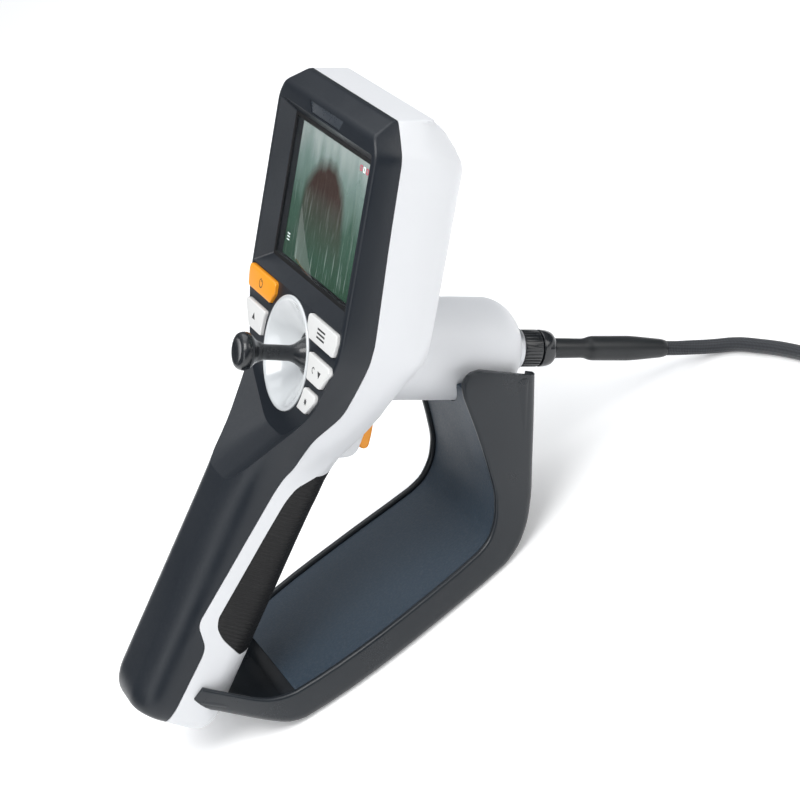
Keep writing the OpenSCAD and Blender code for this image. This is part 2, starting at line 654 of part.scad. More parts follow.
module camera_leds() color("white") at_tip(collar_len + link_count * link_len)
    for (a = [0:60:300]) rotate(a) translate([2.1, 0, camera_len - 0.6]) cylinder(h = 0.5, r = 0.4);

front_cover();
rear_shell();
badge_plate();
screen_gasket();
screen_window();
screen_panel();
main_board();
key_board();
key_mat();
grip_pad();
battery_pack();
battery_clip();
guard_frame();
guard_liner();
base_magnets();
housing_screws();
joystick_dish();
gimbal_cup();
gimbal_ring();
joystick_lever();
joystick_knob();
wire_bracket();
wire_guides();
for (n = key_names) color(n == "power" ? orange : white) key(n);
trigger();
trigger_pin();
trigger_spring();
trigger_switch();
port_cover();
port_pin();
port_board();
barrel_socket();
coupling_nut();
coupling_shell();
strain_relief();
probe_cable();
probe_coil();
probe_tail();
tip_collar();
for (i = [1:link_count]) bending_link(i);
camera_head();
camera_lens();
camera_leds();
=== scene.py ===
"""Finished surfaces of a pistol-grip inspection camera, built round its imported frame."""
import json
import math
from types import SimpleNamespace

import bmesh
import bpy
import numpy as np
from bpy.props import FloatProperty, FloatVectorProperty, PointerProperty
from mathutils import Matrix, Vector


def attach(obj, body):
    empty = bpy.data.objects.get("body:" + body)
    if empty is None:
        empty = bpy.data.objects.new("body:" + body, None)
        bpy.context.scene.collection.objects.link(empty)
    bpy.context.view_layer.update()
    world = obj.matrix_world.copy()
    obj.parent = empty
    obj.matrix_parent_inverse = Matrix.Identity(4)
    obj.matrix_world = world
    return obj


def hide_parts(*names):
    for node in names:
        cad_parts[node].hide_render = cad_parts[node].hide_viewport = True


bl_info = {
    "name": "Inspection camera",
    "version": (1, 0, 0),
    "blender": (4, 5, 0),
    "location": "View3D > Sidebar > Camera",
    "description": "Builds the surfaces of a handheld inspection camera round its frame",
    "category": "Add Mesh",
}

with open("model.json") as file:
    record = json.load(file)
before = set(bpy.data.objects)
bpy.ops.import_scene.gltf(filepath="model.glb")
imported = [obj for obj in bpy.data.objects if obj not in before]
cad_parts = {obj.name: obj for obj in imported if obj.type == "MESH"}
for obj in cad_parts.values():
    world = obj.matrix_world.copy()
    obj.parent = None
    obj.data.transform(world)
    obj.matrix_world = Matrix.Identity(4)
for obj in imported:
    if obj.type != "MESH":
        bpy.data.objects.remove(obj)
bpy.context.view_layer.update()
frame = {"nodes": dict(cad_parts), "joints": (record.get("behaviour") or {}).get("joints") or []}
MM = 0.001
JOINTS = {joint["name"]: joint for joint in frame["joints"]}


# ---------------------------------------------------------------- places
def joint_point(name):
    return np.array(JOINTS[name]["pos_m"])


def joint_axis(name):
    return np.array(JOINTS[name]["axis"])


def placing(origin, x, y, z):
    """A 4 by 4 matrix that takes millimetres along x, y and z to the row frame in metres."""
    matrix = np.eye(4)
    for column, axis in enumerate((x, y, z)):
        matrix[:3, column] = np.array(axis) * MM
    matrix[:3, 3] = origin
    return matrix


def placed(points, matrix):
    points = np.atleast_2d(np.array(points, dtype=float))
    return points @ matrix[:3, :3].T + matrix[:3, 3]


def in_metres(matrix, origin=(0, 0, 0)):
    """A placing for points that are already in metres, with its origin moved by millimetres."""
    moved = matrix @ np.diag((1 / MM, 1 / MM, 1 / MM, 1.0))
    moved[:3, 3] = placed(origin, matrix)[0]
    return Matrix(moved.tolist())


PIVOT_SINK = 15.5
UP = joint_axis("stick_side")
INTO = joint_axis("power_press")
RIGHT = np.array((0.0, -1.0, 0.0))
DISH = joint_point("stick_side") - INTO * PIVOT_SINK * MM
# x to the user's right, y up the panel, z out of it towards the user
PANEL = placing(DISH, RIGHT, UP, -INTO)
# x down, y to the left, z along the barrel away from the user
BARREL_AXIS = joint_axis("nut_turn")
BARREL_RISE = 2.0
BARREL = placing(DISH + UP * BARREL_RISE * MM, np.cross((0, 1, 0), BARREL_AXIS), (0, 1, 0), BARREL_AXIS)
ROW = placing((0, 0, 0), (1, 0, 0), (0, 1, 0), (0, 0, 1))
GRIP_START = 45.0
GRIP_SINK = 1.0
GRIP_RAKE = math.radians(15.3)
DOWN_GRIP = -UP * math.cos(GRIP_RAKE) - INTO * math.sin(GRIP_RAKE)
GRIP_FRONT = UP * math.sin(GRIP_RAKE) - INTO * math.cos(GRIP_RAKE)
# x to the user's right, y to the handle's front, z down the handle
GRIP = placing(placed((0, -GRIP_START, -GRIP_SINK), PANEL)[0], RIGHT, GRIP_FRONT, DOWN_GRIP)


# ---------------------------------------------------------------- sizes and colours
def mm(value):
    return value * MM


def size(name, description, default):
    return FloatProperty(name=name, description=description, default=mm(default), min=0.0,
                         unit="LENGTH", subtype="DISTANCE")


def colour(name, description, default):
    return FloatVectorProperty(name=name, description=description, default=default, size=3,
                               min=0.0, max=1.0, subtype="COLOR")


def in_mm(group):
    """The sizes of a property group as plain numbers, in millimetres."""
    return SimpleNamespace(**{key: getattr(group, key) / MM for key in group.__annotations__})


class CasingSizes(bpy.types.PropertyGroup):
    """Sizes of the head, the barrel and the handle"""
    head_w: size("Head width", "Width of the head", 103)
    head_depth: size("Head depth", "Depth of the head from front to back", 40)
    head_top: size("Head top", "Height of the head's top above the joystick", 103)
    wall: size("Wall", "Thickness of the casing's wall", 2.4)
    barrel_r: size("Barrel radius", "Radius of the barrel", 20.5)
    barrel_reach: size("Barrel reach", "Distance from the panel to the barrel's end", 98.5)
    grip_w: size("Handle width", "Width of the handle", 38)
    grip_d: size("Handle depth", "Depth of the handle", 38.6)
    grip_len: size("Handle length", "Length of the handle", 109)
    pad_t: size("Pad thickness", "Thickness of the rubber pad", 1.8)
    part_gap: size("Parting gap", "Gap along the edge between two casing pieces", 0.24)


class PanelSizes(bpy.types.PropertyGroup):
    """Sizes of the screen, the keys and the joystick"""
    screen_w: size("Screen width", "Width of the picture", 71)
    screen_h: size("Screen height", "Height of the picture", 53.3)
    screen_up: size("Screen height above joystick", "Height of the screen's centre above the joystick",
                    57)
    screen_sink: size("Screen depth", "Depth of the glass below the front face", 5.8)
    key_proud: size("Key height", "Height of a key above the front face", 1.4)
    key_root: size("Key root", "Depth of a key's foot below the front face", 3.1)
    key_gap: size("Key gap", "Gap round a key", 0.4)
    dish_r: size("Dish radius", "Radius of the white dish", 22.6)
    dish_hole_r: size("Dish hole", "Radius of the hole at the dish's bottom", 8.6)
    shaft_r: size("Shaft radius", "Radius of the joystick's shaft", 3.1)
    knob_r: size("Knob radius", "Radius of the joystick's knob", 7.5)


class GuardSizes(bpy.types.PropertyGroup):
    """Sizes of the magnetic hand guard"""
    guard_wall: size("Wall", "Thickness of the guard's walls", 3.2)
    liner_sink: size("Liner depth", "Depth of the liner below the guard's lip", 1.6)
    liner_t: size("Liner thickness", "Thickness of the liner", 2.6)
    magnet_r: size("Magnet radius", "Radius of a base magnet", 9)


class ProbeSizes(bpy.types.PropertyGroup):
    """Sizes of the coupling and of the probe cable"""
    cable_d: size("Cable diameter", "Diameter of the probe cable", 6)
    nut_r: size("Nut radius", "Radius of the knurled nut", 7.6)
    nut_len: size("Nut length", "Length of the knurled nut", 8.4)
    sleeve_step: size("Sleeve step", "Distance from the panel to the step in the sleeve", 134.5)
    sleeve_reach: size("Sleeve reach", "Distance from the panel to the sleeve's end", 167)
    braid_pitch: size("Braid pitch", "Length of one crossing of the woven sleeve", 1.5)


class Finishes(bpy.types.PropertyGroup):
    """Base colours of the finishes"""
    slate: colour("Slate plastic", "Front cover", (0.0095, 0.013, 0.0185))
    white: colour("White plastic", "Rear shell", (0.70, 0.71, 0.73))
    guard: colour("Guard plastic", "Guard frame", (0.010, 0.0135, 0.018))
    guard_inside: colour("Guard lining", "Grained lining of the guard", (0.026, 0.043, 0.064))
    rubber: colour("Rubber", "Pad and seals", (0.004, 0.004, 0.0045))
    key: colour("Light keys", "White keys", (0.72, 0.72, 0.71))
    orange: colour("Orange", "Power key and trigger", (0.93, 0.34, 0.015))
    dish: colour("Dish", "Joystick's dish", (0.70, 0.725, 0.74))
    stick: colour("Stick", "Joystick and coupling", (0.008, 0.010, 0.013))
    braid: colour("Braid", "Woven sleeve of the cable", (0.014, 0.016, 0.020))


# ---------------------------------------------------------------- outlines
def eased_corner(before, corner, after, cut, steps):
    """Points of a round corner that starts and ends cut away from the corner."""
    a, b = before - corner, after - corner
    a, b = a / np.linalg.norm(a), b / np.linalg.norm(b)
    weight = math.sqrt(max(0.0, (1 - a @ b) / 2))
    t = np.linspace(0, 1, steps + 1)[:, None]
    blend = (1 - t) ** 2, 2 * weight * t * (1 - t), t ** 2
    return (blend[0] * (corner + a * cut) + blend[1] * corner + blend[2] * (corner + b * cut)) / sum(blend)


def eased(points, cuts, steps=4, closed=True):
    """A line or a closed outline with round corners. A cut of 0 keeps its corner sharp."""
    points = np.array(points, dtype=float)
    count = len(points)
    cuts = np.broadcast_to(np.array(cuts, dtype=float), (count,))
    out = []
    for i in range(count):
        if cuts[i] <= 0 or (not closed and i in (0, count - 1)):
            out.append(points[i:i + 1])
        else:
            out.append(eased_corner(points[i - 1], points[i], points[(i + 1) % count], cuts[i], steps))
    return np.vstack(out)


def flowing(points, count, tension=0.5):
    """A smooth line of count points through the given ones."""
    points = np.array(points, dtype=float)
    padded = np.vstack((2 * points[0] - points[1], points, 2 * points[-1] - points[-2]))
    fine = []
    for i in range(1, len(padded) - 2):
        p0, p1, p2, p3 = padded[i - 1:i + 3]
        t = np.linspace(0, 1, 24, endpoint=False)[:, None]
        m1, m2 = tension * (p2 - p0), tension * (p3 - p1)
        fine.append((2 * t ** 3 - 3 * t ** 2 + 1) * p1 + (t ** 3 - 2 * t ** 2 + t) * m1
                    + (3 * t ** 2 - 2 * t ** 3) * p2 + (t ** 3 - t ** 2) * m2)
    fine.append(padded[-2:-1])
    return spaced(np.vstack(fine), count)


def spaced(line, count):
    """count points evenly along a line."""
    gone = np.concatenate(([0], np.cumsum(np.linalg.norm(np.diff(line, axis=0), axis=1))))
    return np.column_stack([np.interp(np.linspace(0, gone[-1], count), gone, line[:, k])
                            for k in range(line.shape[1])])


def grown(outline, by):
    """A closed outline moved outwards by a distance; a negative distance shrinks it."""
    turn = np.sum(np.cross(outline, np.roll(outline, -1, axis=0)))
    ahead = np.roll(outline, -1, axis=0) - outline
    ahead /= np.linalg.norm(ahead, axis=1)[:, None]
    behind = np.roll(ahead, 1, axis=0)
    normal = np.column_stack((ahead[:, 1] + behind[:, 1], -ahead[:, 0] - behind[:, 0])) * np.sign(turn)
    normal /= np.maximum(np.sum(normal ** 2, axis=1)[:, None], 0.5) / 2
    return outline + normal * by


def at_height(outline, height):
    return np.column_stack((outline, np.full(len(outline), float(height))))


def circle(radius, count, centre=(0, 0)):
    a = np.linspace(0, math.tau, count, endpoint=False)
    return np.column_stack((centre[0] + radius * np.cos(a), centre[1] + radius * np.sin(a)))


# ---------------------------------------------------------------- solids
def mesh_piece(name, points, faces):
    mesh = bpy.data.meshes.new(name)
    mesh.from_pydata([tuple(p) for p in points], [], [tuple(int(i) for i in f) for f in faces])
    piece = bpy.data.objects.new(name, mesh)
    bpy.context.scene.collection.objects.link(piece)
    tidy_mesh(piece)
    return piece


def tidy_mesh(piece, merge=2e-7):
    """Merges doubles, drops what has no area and points the faces outwards."""
    work = bmesh.new()
    work.from_mesh(piece.data)
    bmesh.ops.remove_doubles(work, verts=work.verts, dist=merge)
    bmesh.ops.dissolve_degenerate(work, edges=work.edges, dist=merge)
    bmesh.ops.recalc_face_normals(work, faces=work.faces)
    work.to_mesh(piece.data)
    work.free()


def lofted(name, rings, matrix=ROW, ring=False):
    """A solid through rings of equally many points, capped at both ends unless it closes on itself."""
    rings = [np.array(r, dtype=float) for r in rings]
    count = len(rings[0])
    faces = []
    for i in range(len(rings) - (0 if ring else 1)):
        low, high = i * count, ((i + 1) % len(rings)) * count
        for k in range(count):
            j = (k + 1) % count
            faces.append((low + k, low + j, high + j, high + k))
    if not ring:
        faces.append(range(count - 1, -1, -1))
        faces.append(range((len(rings) - 1) * count, len(rings) * count))
    return mesh_piece(name, placed(np.vstack(rings), matrix), faces)


def prism(name, outline, low, high, matrix):
    return lofted(name, [at_height(outline, low), at_height(outline, high)], matrix)


def turned(name, profile, matrix, sides=96, ring=False):
    """A solid of revolution about z. The profile's points are (radius, height)."""
    rings = [at_height(circle(max(r, 1e-5), sides), h) for r, h in profile]
    return lofted(name, rings, matrix, ring)


def side_cut(name, outline, width, matrix=PANEL):
    """A prism across the object from a side outline of (height, height out of the panel)."""
    rings = [np.column_stack((np.full(len(outline), x), outline)) for x in (-width / 2, width / 2)]
    return lofted(name, rings, matrix)


def cushion(name, outline, low, high, edge, matrix, steps=5):
    """A solid over an outline whose upper edge is rounded by a radius."""
    rings = [at_height(outline, low)]
    for a in np.linspace(0, math.pi / 2, steps + 1):
        rings.append(at_height(grown(outline, -edge * (1 - math.cos(a))),
                               high - edge * (1 - math.sin(a))))
    return lofted(name, rings, matrix)


def settle(piece):
    """Turns a piece's modifiers into plain mesh."""
    bpy.context.view_layer.update()
    graph = bpy.context.evaluated_depsgraph_get()
    mesh = bpy.data.meshes.new_from_object(piece.evaluated_get(graph))
    old = piece.data
    piece.modifiers.clear()
    piece.data = mesh
    mesh.name = piece.name
    bpy.data.meshes.remove(old)
    return piece


def discard(*pieces):
    for piece in pieces:
        mesh = piece.data
        bpy.data.objects.remove(piece)
        bpy.data.meshes.remove(mesh)


def carve(piece, *tools, how="DIFFERENCE"):
    """Cuts away, joins or intersects with solid tools, which are then thrown away."""
    for tool in tools:
        change = piece.modifiers.new(tool.name, "BOOLEAN")
        change.operation = how
        change.object = tool
        change.solver = "MANIFOLD"
    settle(piece)
    discard(*tools)
    return piece


def soften(piece, width, steps=2, angle=40):
    """Rounds a piece's sharp edges."""
    bevel = piece.modifiers.new("Edges", "BEVEL")
    bevel.width = width * MM
    bevel.segments = steps
    bevel.limit_method = "ANGLE"
    bevel.angle_limit = math.radians(angle)
    bevel.miter_outer = "MITER_ARC"
    settle(piece)
    return piece


def dress(piece, material, body, *nodes, slot=None, angle=38):
    """Gives a finished piece its shading, material and body, and hides the CAD nodes that it stands for.
    """
    tidy_mesh(piece)
    piece.data.shade_smooth()
    piece.data.set_sharp_from_angle(angle=math.radians(angle))
    piece.data.materials.clear()
    piece.data.materials.append(material)
    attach(piece, body)
    if nodes:
        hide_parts(*nodes)
    return piece


def copied(node, name):
    """A merged copy of a CAD node, to be finished as a piece of its own."""
    piece = bpy.data.objects.new(name, frame["nodes"][node].data.copy())
    bpy.context.scene.collection.objects.link(piece)
    work = bmesh.new()
    work.from_mesh(piece.data)
    bmesh.ops.remove_doubles(work, verts=work.verts, dist=2e-6)
    bmesh.ops.dissolve_limit(work, angle_limit=math.radians(1), verts=work.verts, edges=work.edges)
    work.to_mesh(piece.data)
    work.free()
    return piece


# ---------------------------------------------------------------- node trees
class Graph:
    """Adds nodes to a tree. An input is given as a value, or as a socket to link from."""

    def __init__(self, tree):
        self.tree = tree

    def add(self, kind, inputs=None, **settings):
        node = self.tree.nodes.new(kind)
        for key, value in settings.items():
            setattr(node, key, value)
        for key, value in (inputs or {}).items():
            if isinstance(value, bpy.types.NodeSocket):
                self.tree.links.new(value, node.inputs[key])
            else:
                node.inputs[key].default_value = value
        return node

    def maths(self, operation, a, b=0.0):
        return self.add("ShaderNodeMath", {0: a, 1: b}, operation=operation).outputs[0]

    def mixed(self, factor, a, b, how="MIX"):
        node = self.add("ShaderNodeMix", data_type="RGBA", blend_type=how)
        for key, value in ((0, factor), (6, a), (7, b)):
            if isinstance(value, bpy.types.NodeSocket):
                self.tree.links.new(value, node.inputs[key])
            else:
                node.inputs[key].default_value = value
        return node.outputs[2]

    def ramp(self, factor, *stops):
        node = self.add("ShaderNodeValToRGB", {0: factor})
        while len(node.color_ramp.elements) < len(stops):
            node.color_ramp.elements.new(0.5)
        for element, (at, rgb) in zip(node.color_ramp.elements, stops):
            element.position = at
            element.color = (*rgb, 1.0)
        return node.outputs[0]

    def span(self, value, low, high, to_low=0.0, to_high=1.0):
        return self.add("ShaderNodeMapRange",
                        {0: value, 1: low, 2: high, 3: to_low, 4: to_high}).outputs[0]


def new_group(name, inputs, outputs, kind="ShaderNodeTree"):
    """An empty node group with named inputs (name, type, default) and outputs (name, type)."""
    tree = bpy.data.node_groups.new(name, kind)
    for label, socket_type, default in inputs:
        socket = tree.interface.new_socket(label, in_out="INPUT", socket_type=socket_type)
        if default is not None:
            socket.default_value = default
    for label, socket_type in outputs:
        tree.interface.new_socket(label, in_out="OUTPUT", socket_type=socket_type)
    graph = Graph(tree)
    return graph, graph.add("NodeGroupInput").outputs, graph.add("NodeGroupOutput").inputs


def grain_group():
    """Fine moulded grain: slight changes of colour and roughness, and a height for a bump."""
    graph, given, out = new_group("Moulded grain", [
        ("Colour", "NodeSocketColor", (0.5, 0.5, 0.5, 1)), ("Roughness", "NodeSocketFloat", 0.5),
        ("Grain Scale", "NodeSocketFloat", 1800.0), ("Contrast", "NodeSocketFloat", 0.1)],
        [("Colour", "NodeSocketColor"), ("Roughness", "NodeSocketFloat"), ("Height", "NodeSocketFloat")])
    place = graph.add("ShaderNodeTexCoord").outputs["Object"]
    fine = graph.add("ShaderNodeTexNoise", {"Vector": place, "Scale": given["Grain Scale"],
                                            "Detail": 3.0, "Roughness": 0.6}).outputs["Fac"]
    cells = graph.add("ShaderNodeTexVoronoi", {"Vector": place, "Scale": given["Grain Scale"]},
                      feature="SMOOTH_F1").outputs["Distance"]
    height = graph.maths("ADD", graph.maths("MULTIPLY", fine, 0.6), graph.maths("MULTIPLY", cells, 0.5))
    shift = graph.maths("MULTIPLY", graph.maths("SUBTRACT", fine, 0.5), given["Contrast"])
    tone = graph.maths("ADD", shift, 1.0)
    grey = graph.add("ShaderNodeCombineColor", {0: tone, 1: tone, 2: tone}).outputs[0]
    graph.tree.links.new(graph.mixed(1.0, given["Colour"], grey, "MULTIPLY"), out["Colour"])
    graph.tree.links.new(graph.maths("ADD", given["Roughness"], graph.maths("MULTIPLY", shift, 0.5)),
                         out["Roughness"])
    graph.tree.links.new(height, out["Height"])
    return graph.tree


def handling_group():
    """Traces of use: faint smudges that change the gloss, and a little dust on upward faces."""
    graph, given, out = new_group("Handling", [
        ("Colour", "NodeSocketColor", (0.5, 0.5, 0.5, 1)), ("Roughness", "NodeSocketFloat", 0.5),
        ("Smudge", "NodeSocketFloat", 0.1), ("Dust", "NodeSocketFloat", 0.05)],
        [("Colour", "NodeSocketColor"), ("Roughness", "NodeSocketFloat")])
    place = graph.add("ShaderNodeTexCoord").outputs["Object"]
    broad = graph.add("ShaderNodeTexNoise",
                      {"Vector": place, "Scale": 45.0, "Detail": 4.0}).outputs["Fac"]
    specks = graph.add("ShaderNodeTexNoise",
                       {"Vector": place, "Scale": 900.0, "Detail": 2.0}).outputs["Fac"]
    facing = graph.add("ShaderNodeSeparateXYZ",
                       {0: graph.add("ShaderNodeNewGeometry").outputs["Normal"]}).outputs["Z"]
    upward = graph.span(facing, 0.1, 1.0)
    dust = graph.maths("MULTIPLY", graph.maths("MULTIPLY", upward, graph.span(specks, 0.45, 0.75)),
                       given["Dust"])
    graph.tree.links.new(graph.mixed(dust, given["Colour"], (0.45, 0.43, 0.40, 1)), out["Colour"])
    smudge = graph.maths("MULTIPLY", graph.span(broad, 0.35, 0.7, -0.5, 0.5), given["Smudge"])
    graph.tree.links.new(graph.maths("ADD", graph.maths("ADD", given["Roughness"], smudge), dust),
                         out["Roughness"])
    return graph.tree


GROUPS = {}


def effect(graph, builder, **values):
    """Places an effect's node group, which is built once, in a material with its own values."""
    if builder not in GROUPS:
        GROUPS[builder] = builder()
    node = graph.add("ShaderNodeGroup", node_tree=GROUPS[builder])
    for key, value in values.items():
        label = key.replace("_", " ").title()
        if isinstance(value, bpy.types.NodeSocket):
            graph.tree.links.new(value, node.inputs[label])
        else:
            node.inputs[label].default_value = value
    return node.outputs


MATERIALS = {}
BUMP_DEPTH = 0.0002
RIB_PITCH = 0.0016
RIB_ROW = 0.0052
BRAID_STRANDS = 8


def empty_material(name):
    material = bpy.data.materials.new(name)
    material.use_nodes = True
    material.node_tree.nodes.clear()
    graph = Graph(material.node_tree)
    shader = graph.add("ShaderNodeBsdfPrincipled")
    graph.add("ShaderNodeOutputMaterial", {"Surface": shader.outputs[0]})
    MATERIALS[name] = material
    return material, graph, shader


def surface(graph, shader, source):
    """Links an effect's colour and roughness to a shader."""
    graph.tree.links.new(source["Colour"], shader.inputs["Base Color"])
    graph.tree.links.new(source["Roughness"], shader.inputs["Roughness"])


def bumped(graph, shader, height, strength, distance):
    bump = graph.add("ShaderNodeBump", {"Height": height, "Strength": strength, "Distance": distance})
    graph.tree.links.new(bump.outputs[0], shader.inputs["Normal"])


def moulded(name, base, roughness, grain=1800.0, depth=0.12, contrast=0.1, smudge=0.12, dust=0.04,
            coat=0.0, shine=0.5):
    """A solid material with fine grain, smudges and a trace of dust."""
    material, graph, shader = empty_material(name)
    fine = effect(graph, grain_group, colour=(*base, 1), roughness=roughness, grain_scale=grain,
                  contrast=contrast)
    used = effect(graph, handling_group, colour=fine["Colour"], roughness=fine["Roughness"],
                  smudge=smudge, dust=dust)
    surface(graph, shader, used)
    shader.inputs["Specular IOR Level"].default_value = shine
    shader.inputs["Coat Weight"].default_value = coat
    shader.inputs["Coat Roughness"].default_value = 0.08
    bumped(graph, shader, fine["Height"], depth, BUMP_DEPTH)
    return material


def ribbed_rubber(base):
    """Black rubber with short ribs across the handle, in rows a few millimetres wide."""
    material, graph, shader = empty_material("Rubber")
    place = graph.add("ShaderNodeTexCoord").outputs["Object"]
    down = graph.add("ShaderNodeVectorMath", {0: place, 1: tuple(DOWN_GRIP)},
                     operation="DOT_PRODUCT").outputs["Value"]
    rib = graph.maths("SINE", graph.maths("MULTIPLY", down, math.tau / RIB_PITCH))
    across = graph.add("ShaderNodeSeparateXYZ", {0: place}).outputs["Y"]
    row = graph.maths("SINE", graph.maths("MULTIPLY", across, math.tau / RIB_ROW))
    height = graph.maths("MULTIPLY", graph.span(rib, -0.4, 0.6), graph.span(row, -0.85, -0.4))
    fine = effect(graph, grain_group, colour=(*base, 1), roughness=0.55, grain_scale=2600.0, contrast=0.4)
    used = effect(graph, handling_group, colour=fine["Colour"], roughness=fine["Roughness"], smudge=0.1,
                  dust=0.03)
    surface(graph, shader, used)
    shader.inputs["Specular IOR Level"].default_value = 0.4
    bumped(graph, shader, graph.maths("ADD", height, graph.maths("MULTIPLY", fine["Height"], 0.15)), 0.8,
           0.0004)
    return material


def clear_glass():
    material, _, shader = empty_material("Screen glass")
    shader.inputs["Base Color"].default_value = (0.9, 0.93, 0.94, 1)
    shader.inputs["Roughness"].default_value = 0.02
    shader.inputs["Transmission Weight"].default_value = 1.0
    shader.inputs["IOR"].default_value = 1.12
    shader.inputs["Coat Weight"].default_value = 0.35
    shader.inputs["Coat Roughness"].default_value = 0.02
    return material


def live_picture():
    """The picture of a pipe's inside: a brown vault over wet green walls with streaks."""
    material, graph, shader = empty_material("Screen picture")
    place = graph.add("ShaderNodeUVMap", uv_map="Picture").outputs[0]
    split = graph.add("ShaderNodeSeparateXYZ", {0: place}).outputs
    across, up = split[0], split[1]
    wide = graph.add("ShaderNodeMapping", {0: place, 3: (9.0, 1.6, 1.0)}).outputs[0]
    narrow = graph.add("ShaderNodeMapping", {0: place, 3: (46.0, 3.2, 1.0)}).outputs[0]
    veil = graph.add("ShaderNodeTexNoise", {"Vector": wide, "Scale": 1.0, "Detail": 5.0}).outputs["Fac"]
    streaks = graph.add("ShaderNodeTexNoise",
                        {"Vector": narrow, "Scale": 1.0, "Detail": 6.0}).outputs["Fac"]
    wall = graph.ramp(graph.maths("ADD", up,
                                  graph.maths("MULTIPLY", graph.maths("SUBTRACT", veil, 0.5), 0.5)),
                      (0.0, (0.035, 0.080, 0.050)), (0.45, (0.060, 0.120, 0.085)),
                      (0.75, (0.20, 0.28, 0.25)),
                      (1.0, (0.42, 0.47, 0.45)))
    # the vault: a tall ellipse whose rim is soft
    aside = graph.maths("POWER", graph.maths("ABSOLUTE", graph.maths("DIVIDE",
                        graph.maths("SUBTRACT", across, 0.44), 0.32)), 2.2)
    rise = graph.maths("POWER", graph.maths("DIVIDE", graph.maths("MAXIMUM",
                       graph.maths("SUBTRACT", up, 0.20), 0.0), 0.64), 2.4)
    vault = graph.span(graph.maths("ADD", graph.maths("ADD", aside, rise),
                                   graph.maths("MULTIPLY", graph.maths("SUBTRACT", veil, 0.5), 0.5)),
                       1.12, 0.72)
    depth = graph.span(up, 0.12, 0.62)
    brown = graph.mixed(streaks, (0.022, 0.012, 0.009, 1), (0.085, 0.045, 0.034, 1))
    scene = graph.mixed(graph.maths("MULTIPLY", vault, depth), wall, brown)
    glint = graph.maths("MULTIPLY", graph.span(streaks, 0.56, 0.70), graph.span(up, 0.75, 0.05))
    scene = graph.mixed(graph.maths("MULTIPLY", glint, 0.55), scene, (0.42, 0.50, 0.46, 1))
    graph.tree.links.new(graph.mixed(0.75, scene, (0, 0, 0, 1)), shader.inputs["Base Color"])
    graph.tree.links.new(scene, shader.inputs["Emission Color"])
    shader.inputs["Emission Strength"].default_value = 0.95
    shader.inputs["Roughness"].default_value = 0.25
    return material


def circuit_board():
    material, graph, shader = empty_material("Circuit board")
    place = graph.add("ShaderNodeTexCoord").outputs["Object"]
    tracks = graph.add("ShaderNodeTexBrick",
                       {"Vector": place, "Scale": 260.0, "Color1": (0.01, 0.10, 0.045, 1),
                                              "Color2": (0.015, 0.14, 0.06, 1),
                                              "Mortar": (0.25, 0.22, 0.08, 1),
                                              "Mortar Size": 0.012})
    fine = effect(graph, grain_group, colour=tracks.outputs["Color"], roughness=0.35, grain_scale=2500.0,
                  contrast=0.15)
    surface(graph, shader, fine)
    bumped(graph, shader, fine["Height"], 0.08, 0.0001)
    return material


def woven_sleeve(colour, pitch):
    """A braid of fine dark strands with painted highlights on its crossings and painted shade in its
    hollows, on the cable's own map of (round, along) in turns and metres.
    """
    material, graph, shader = empty_material("Woven sleeve")
    place = graph.add("ShaderNodeUVMap", uv_map="Along").outputs[0]
    split = graph.add("ShaderNodeSeparateXYZ", {0: place}).outputs
    turns = graph.maths("MULTIPLY", split[0], BRAID_STRANDS * math.tau)
    along = graph.maths("MULTIPLY", split[1], math.tau / pitch)
    left = graph.maths("SINE", graph.maths("ADD", turns, along))
    right = graph.maths("SINE", graph.maths("SUBTRACT", turns, along))
    over = graph.maths("MULTIPLY", left, right)
    height = graph.span(over, -1.0, 1.0)
    # painted highlight and shade: the braid's colour at 0.35 times in the hollows of the weave and 2.2
    # times on its crossings
    weave_shade_and_highlight = graph.mixed(height, (*(c * 0.35 for c in colour), 1), (*(c * 2.2 for c in colour), 1))
    fine = effect(graph, grain_group, colour=weave_shade_and_highlight, roughness=0.62, grain_scale=4200.0, contrast=0.5)
    surface(graph, shader, fine)
    shader.inputs["Sheen Weight"].default_value = 0.15
    bumped(graph, shader, graph.maths("ADD", height, graph.maths("MULTIPLY", fine["Height"], 0.3)), 0.5,
           0.0003)
    return material


def turned_metal(name, base, roughness):
    """Metal with fine marks of turning."""
    material, graph, shader = empty_material(name)
    place = graph.add("ShaderNodeTexCoord").outputs["Object"]
    lines = graph.add("ShaderNodeTexNoise", {
        "Vector": graph.add("ShaderNodeMapping", {0: place, 3: (4000.0, 600.0, 4000.0)}).outputs[0],
        "Scale": 1.0, "Detail": 2.0}).outputs["Fac"]
    fine = effect(graph, grain_group, colour=(*base, 1), roughness=roughness, grain_scale=3000.0,
                  contrast=0.15)
    graph.tree.links.new(fine["Colour"], shader.inputs["Base Color"])
    graph.tree.links.new(graph.maths("ADD", fine["Roughness"], graph.maths("MULTIPLY", lines, 0.12)),
                         shader.inputs["Roughness"])
    shader.inputs["Metallic"].default_value = 1.0
    bumped(graph, shader, lines, 0.06, 0.0001)
    return material


def glowing(name, base, strength):
    material, graph, shader = empty_material(name)
    fine = effect(graph, grain_group, colour=(*base, 1), roughness=0.3, grain_scale=3000.0, contrast=0.1)
    graph.tree.links.new(fine["Colour"], shader.inputs["Base Color"])
    graph.tree.links.new(fine["Colour"], shader.inputs["Emission Color"])
    shader.inputs["Emission Strength"].default_value = strength
    shader.inputs["Roughness"].default_value = 0.3
    return material


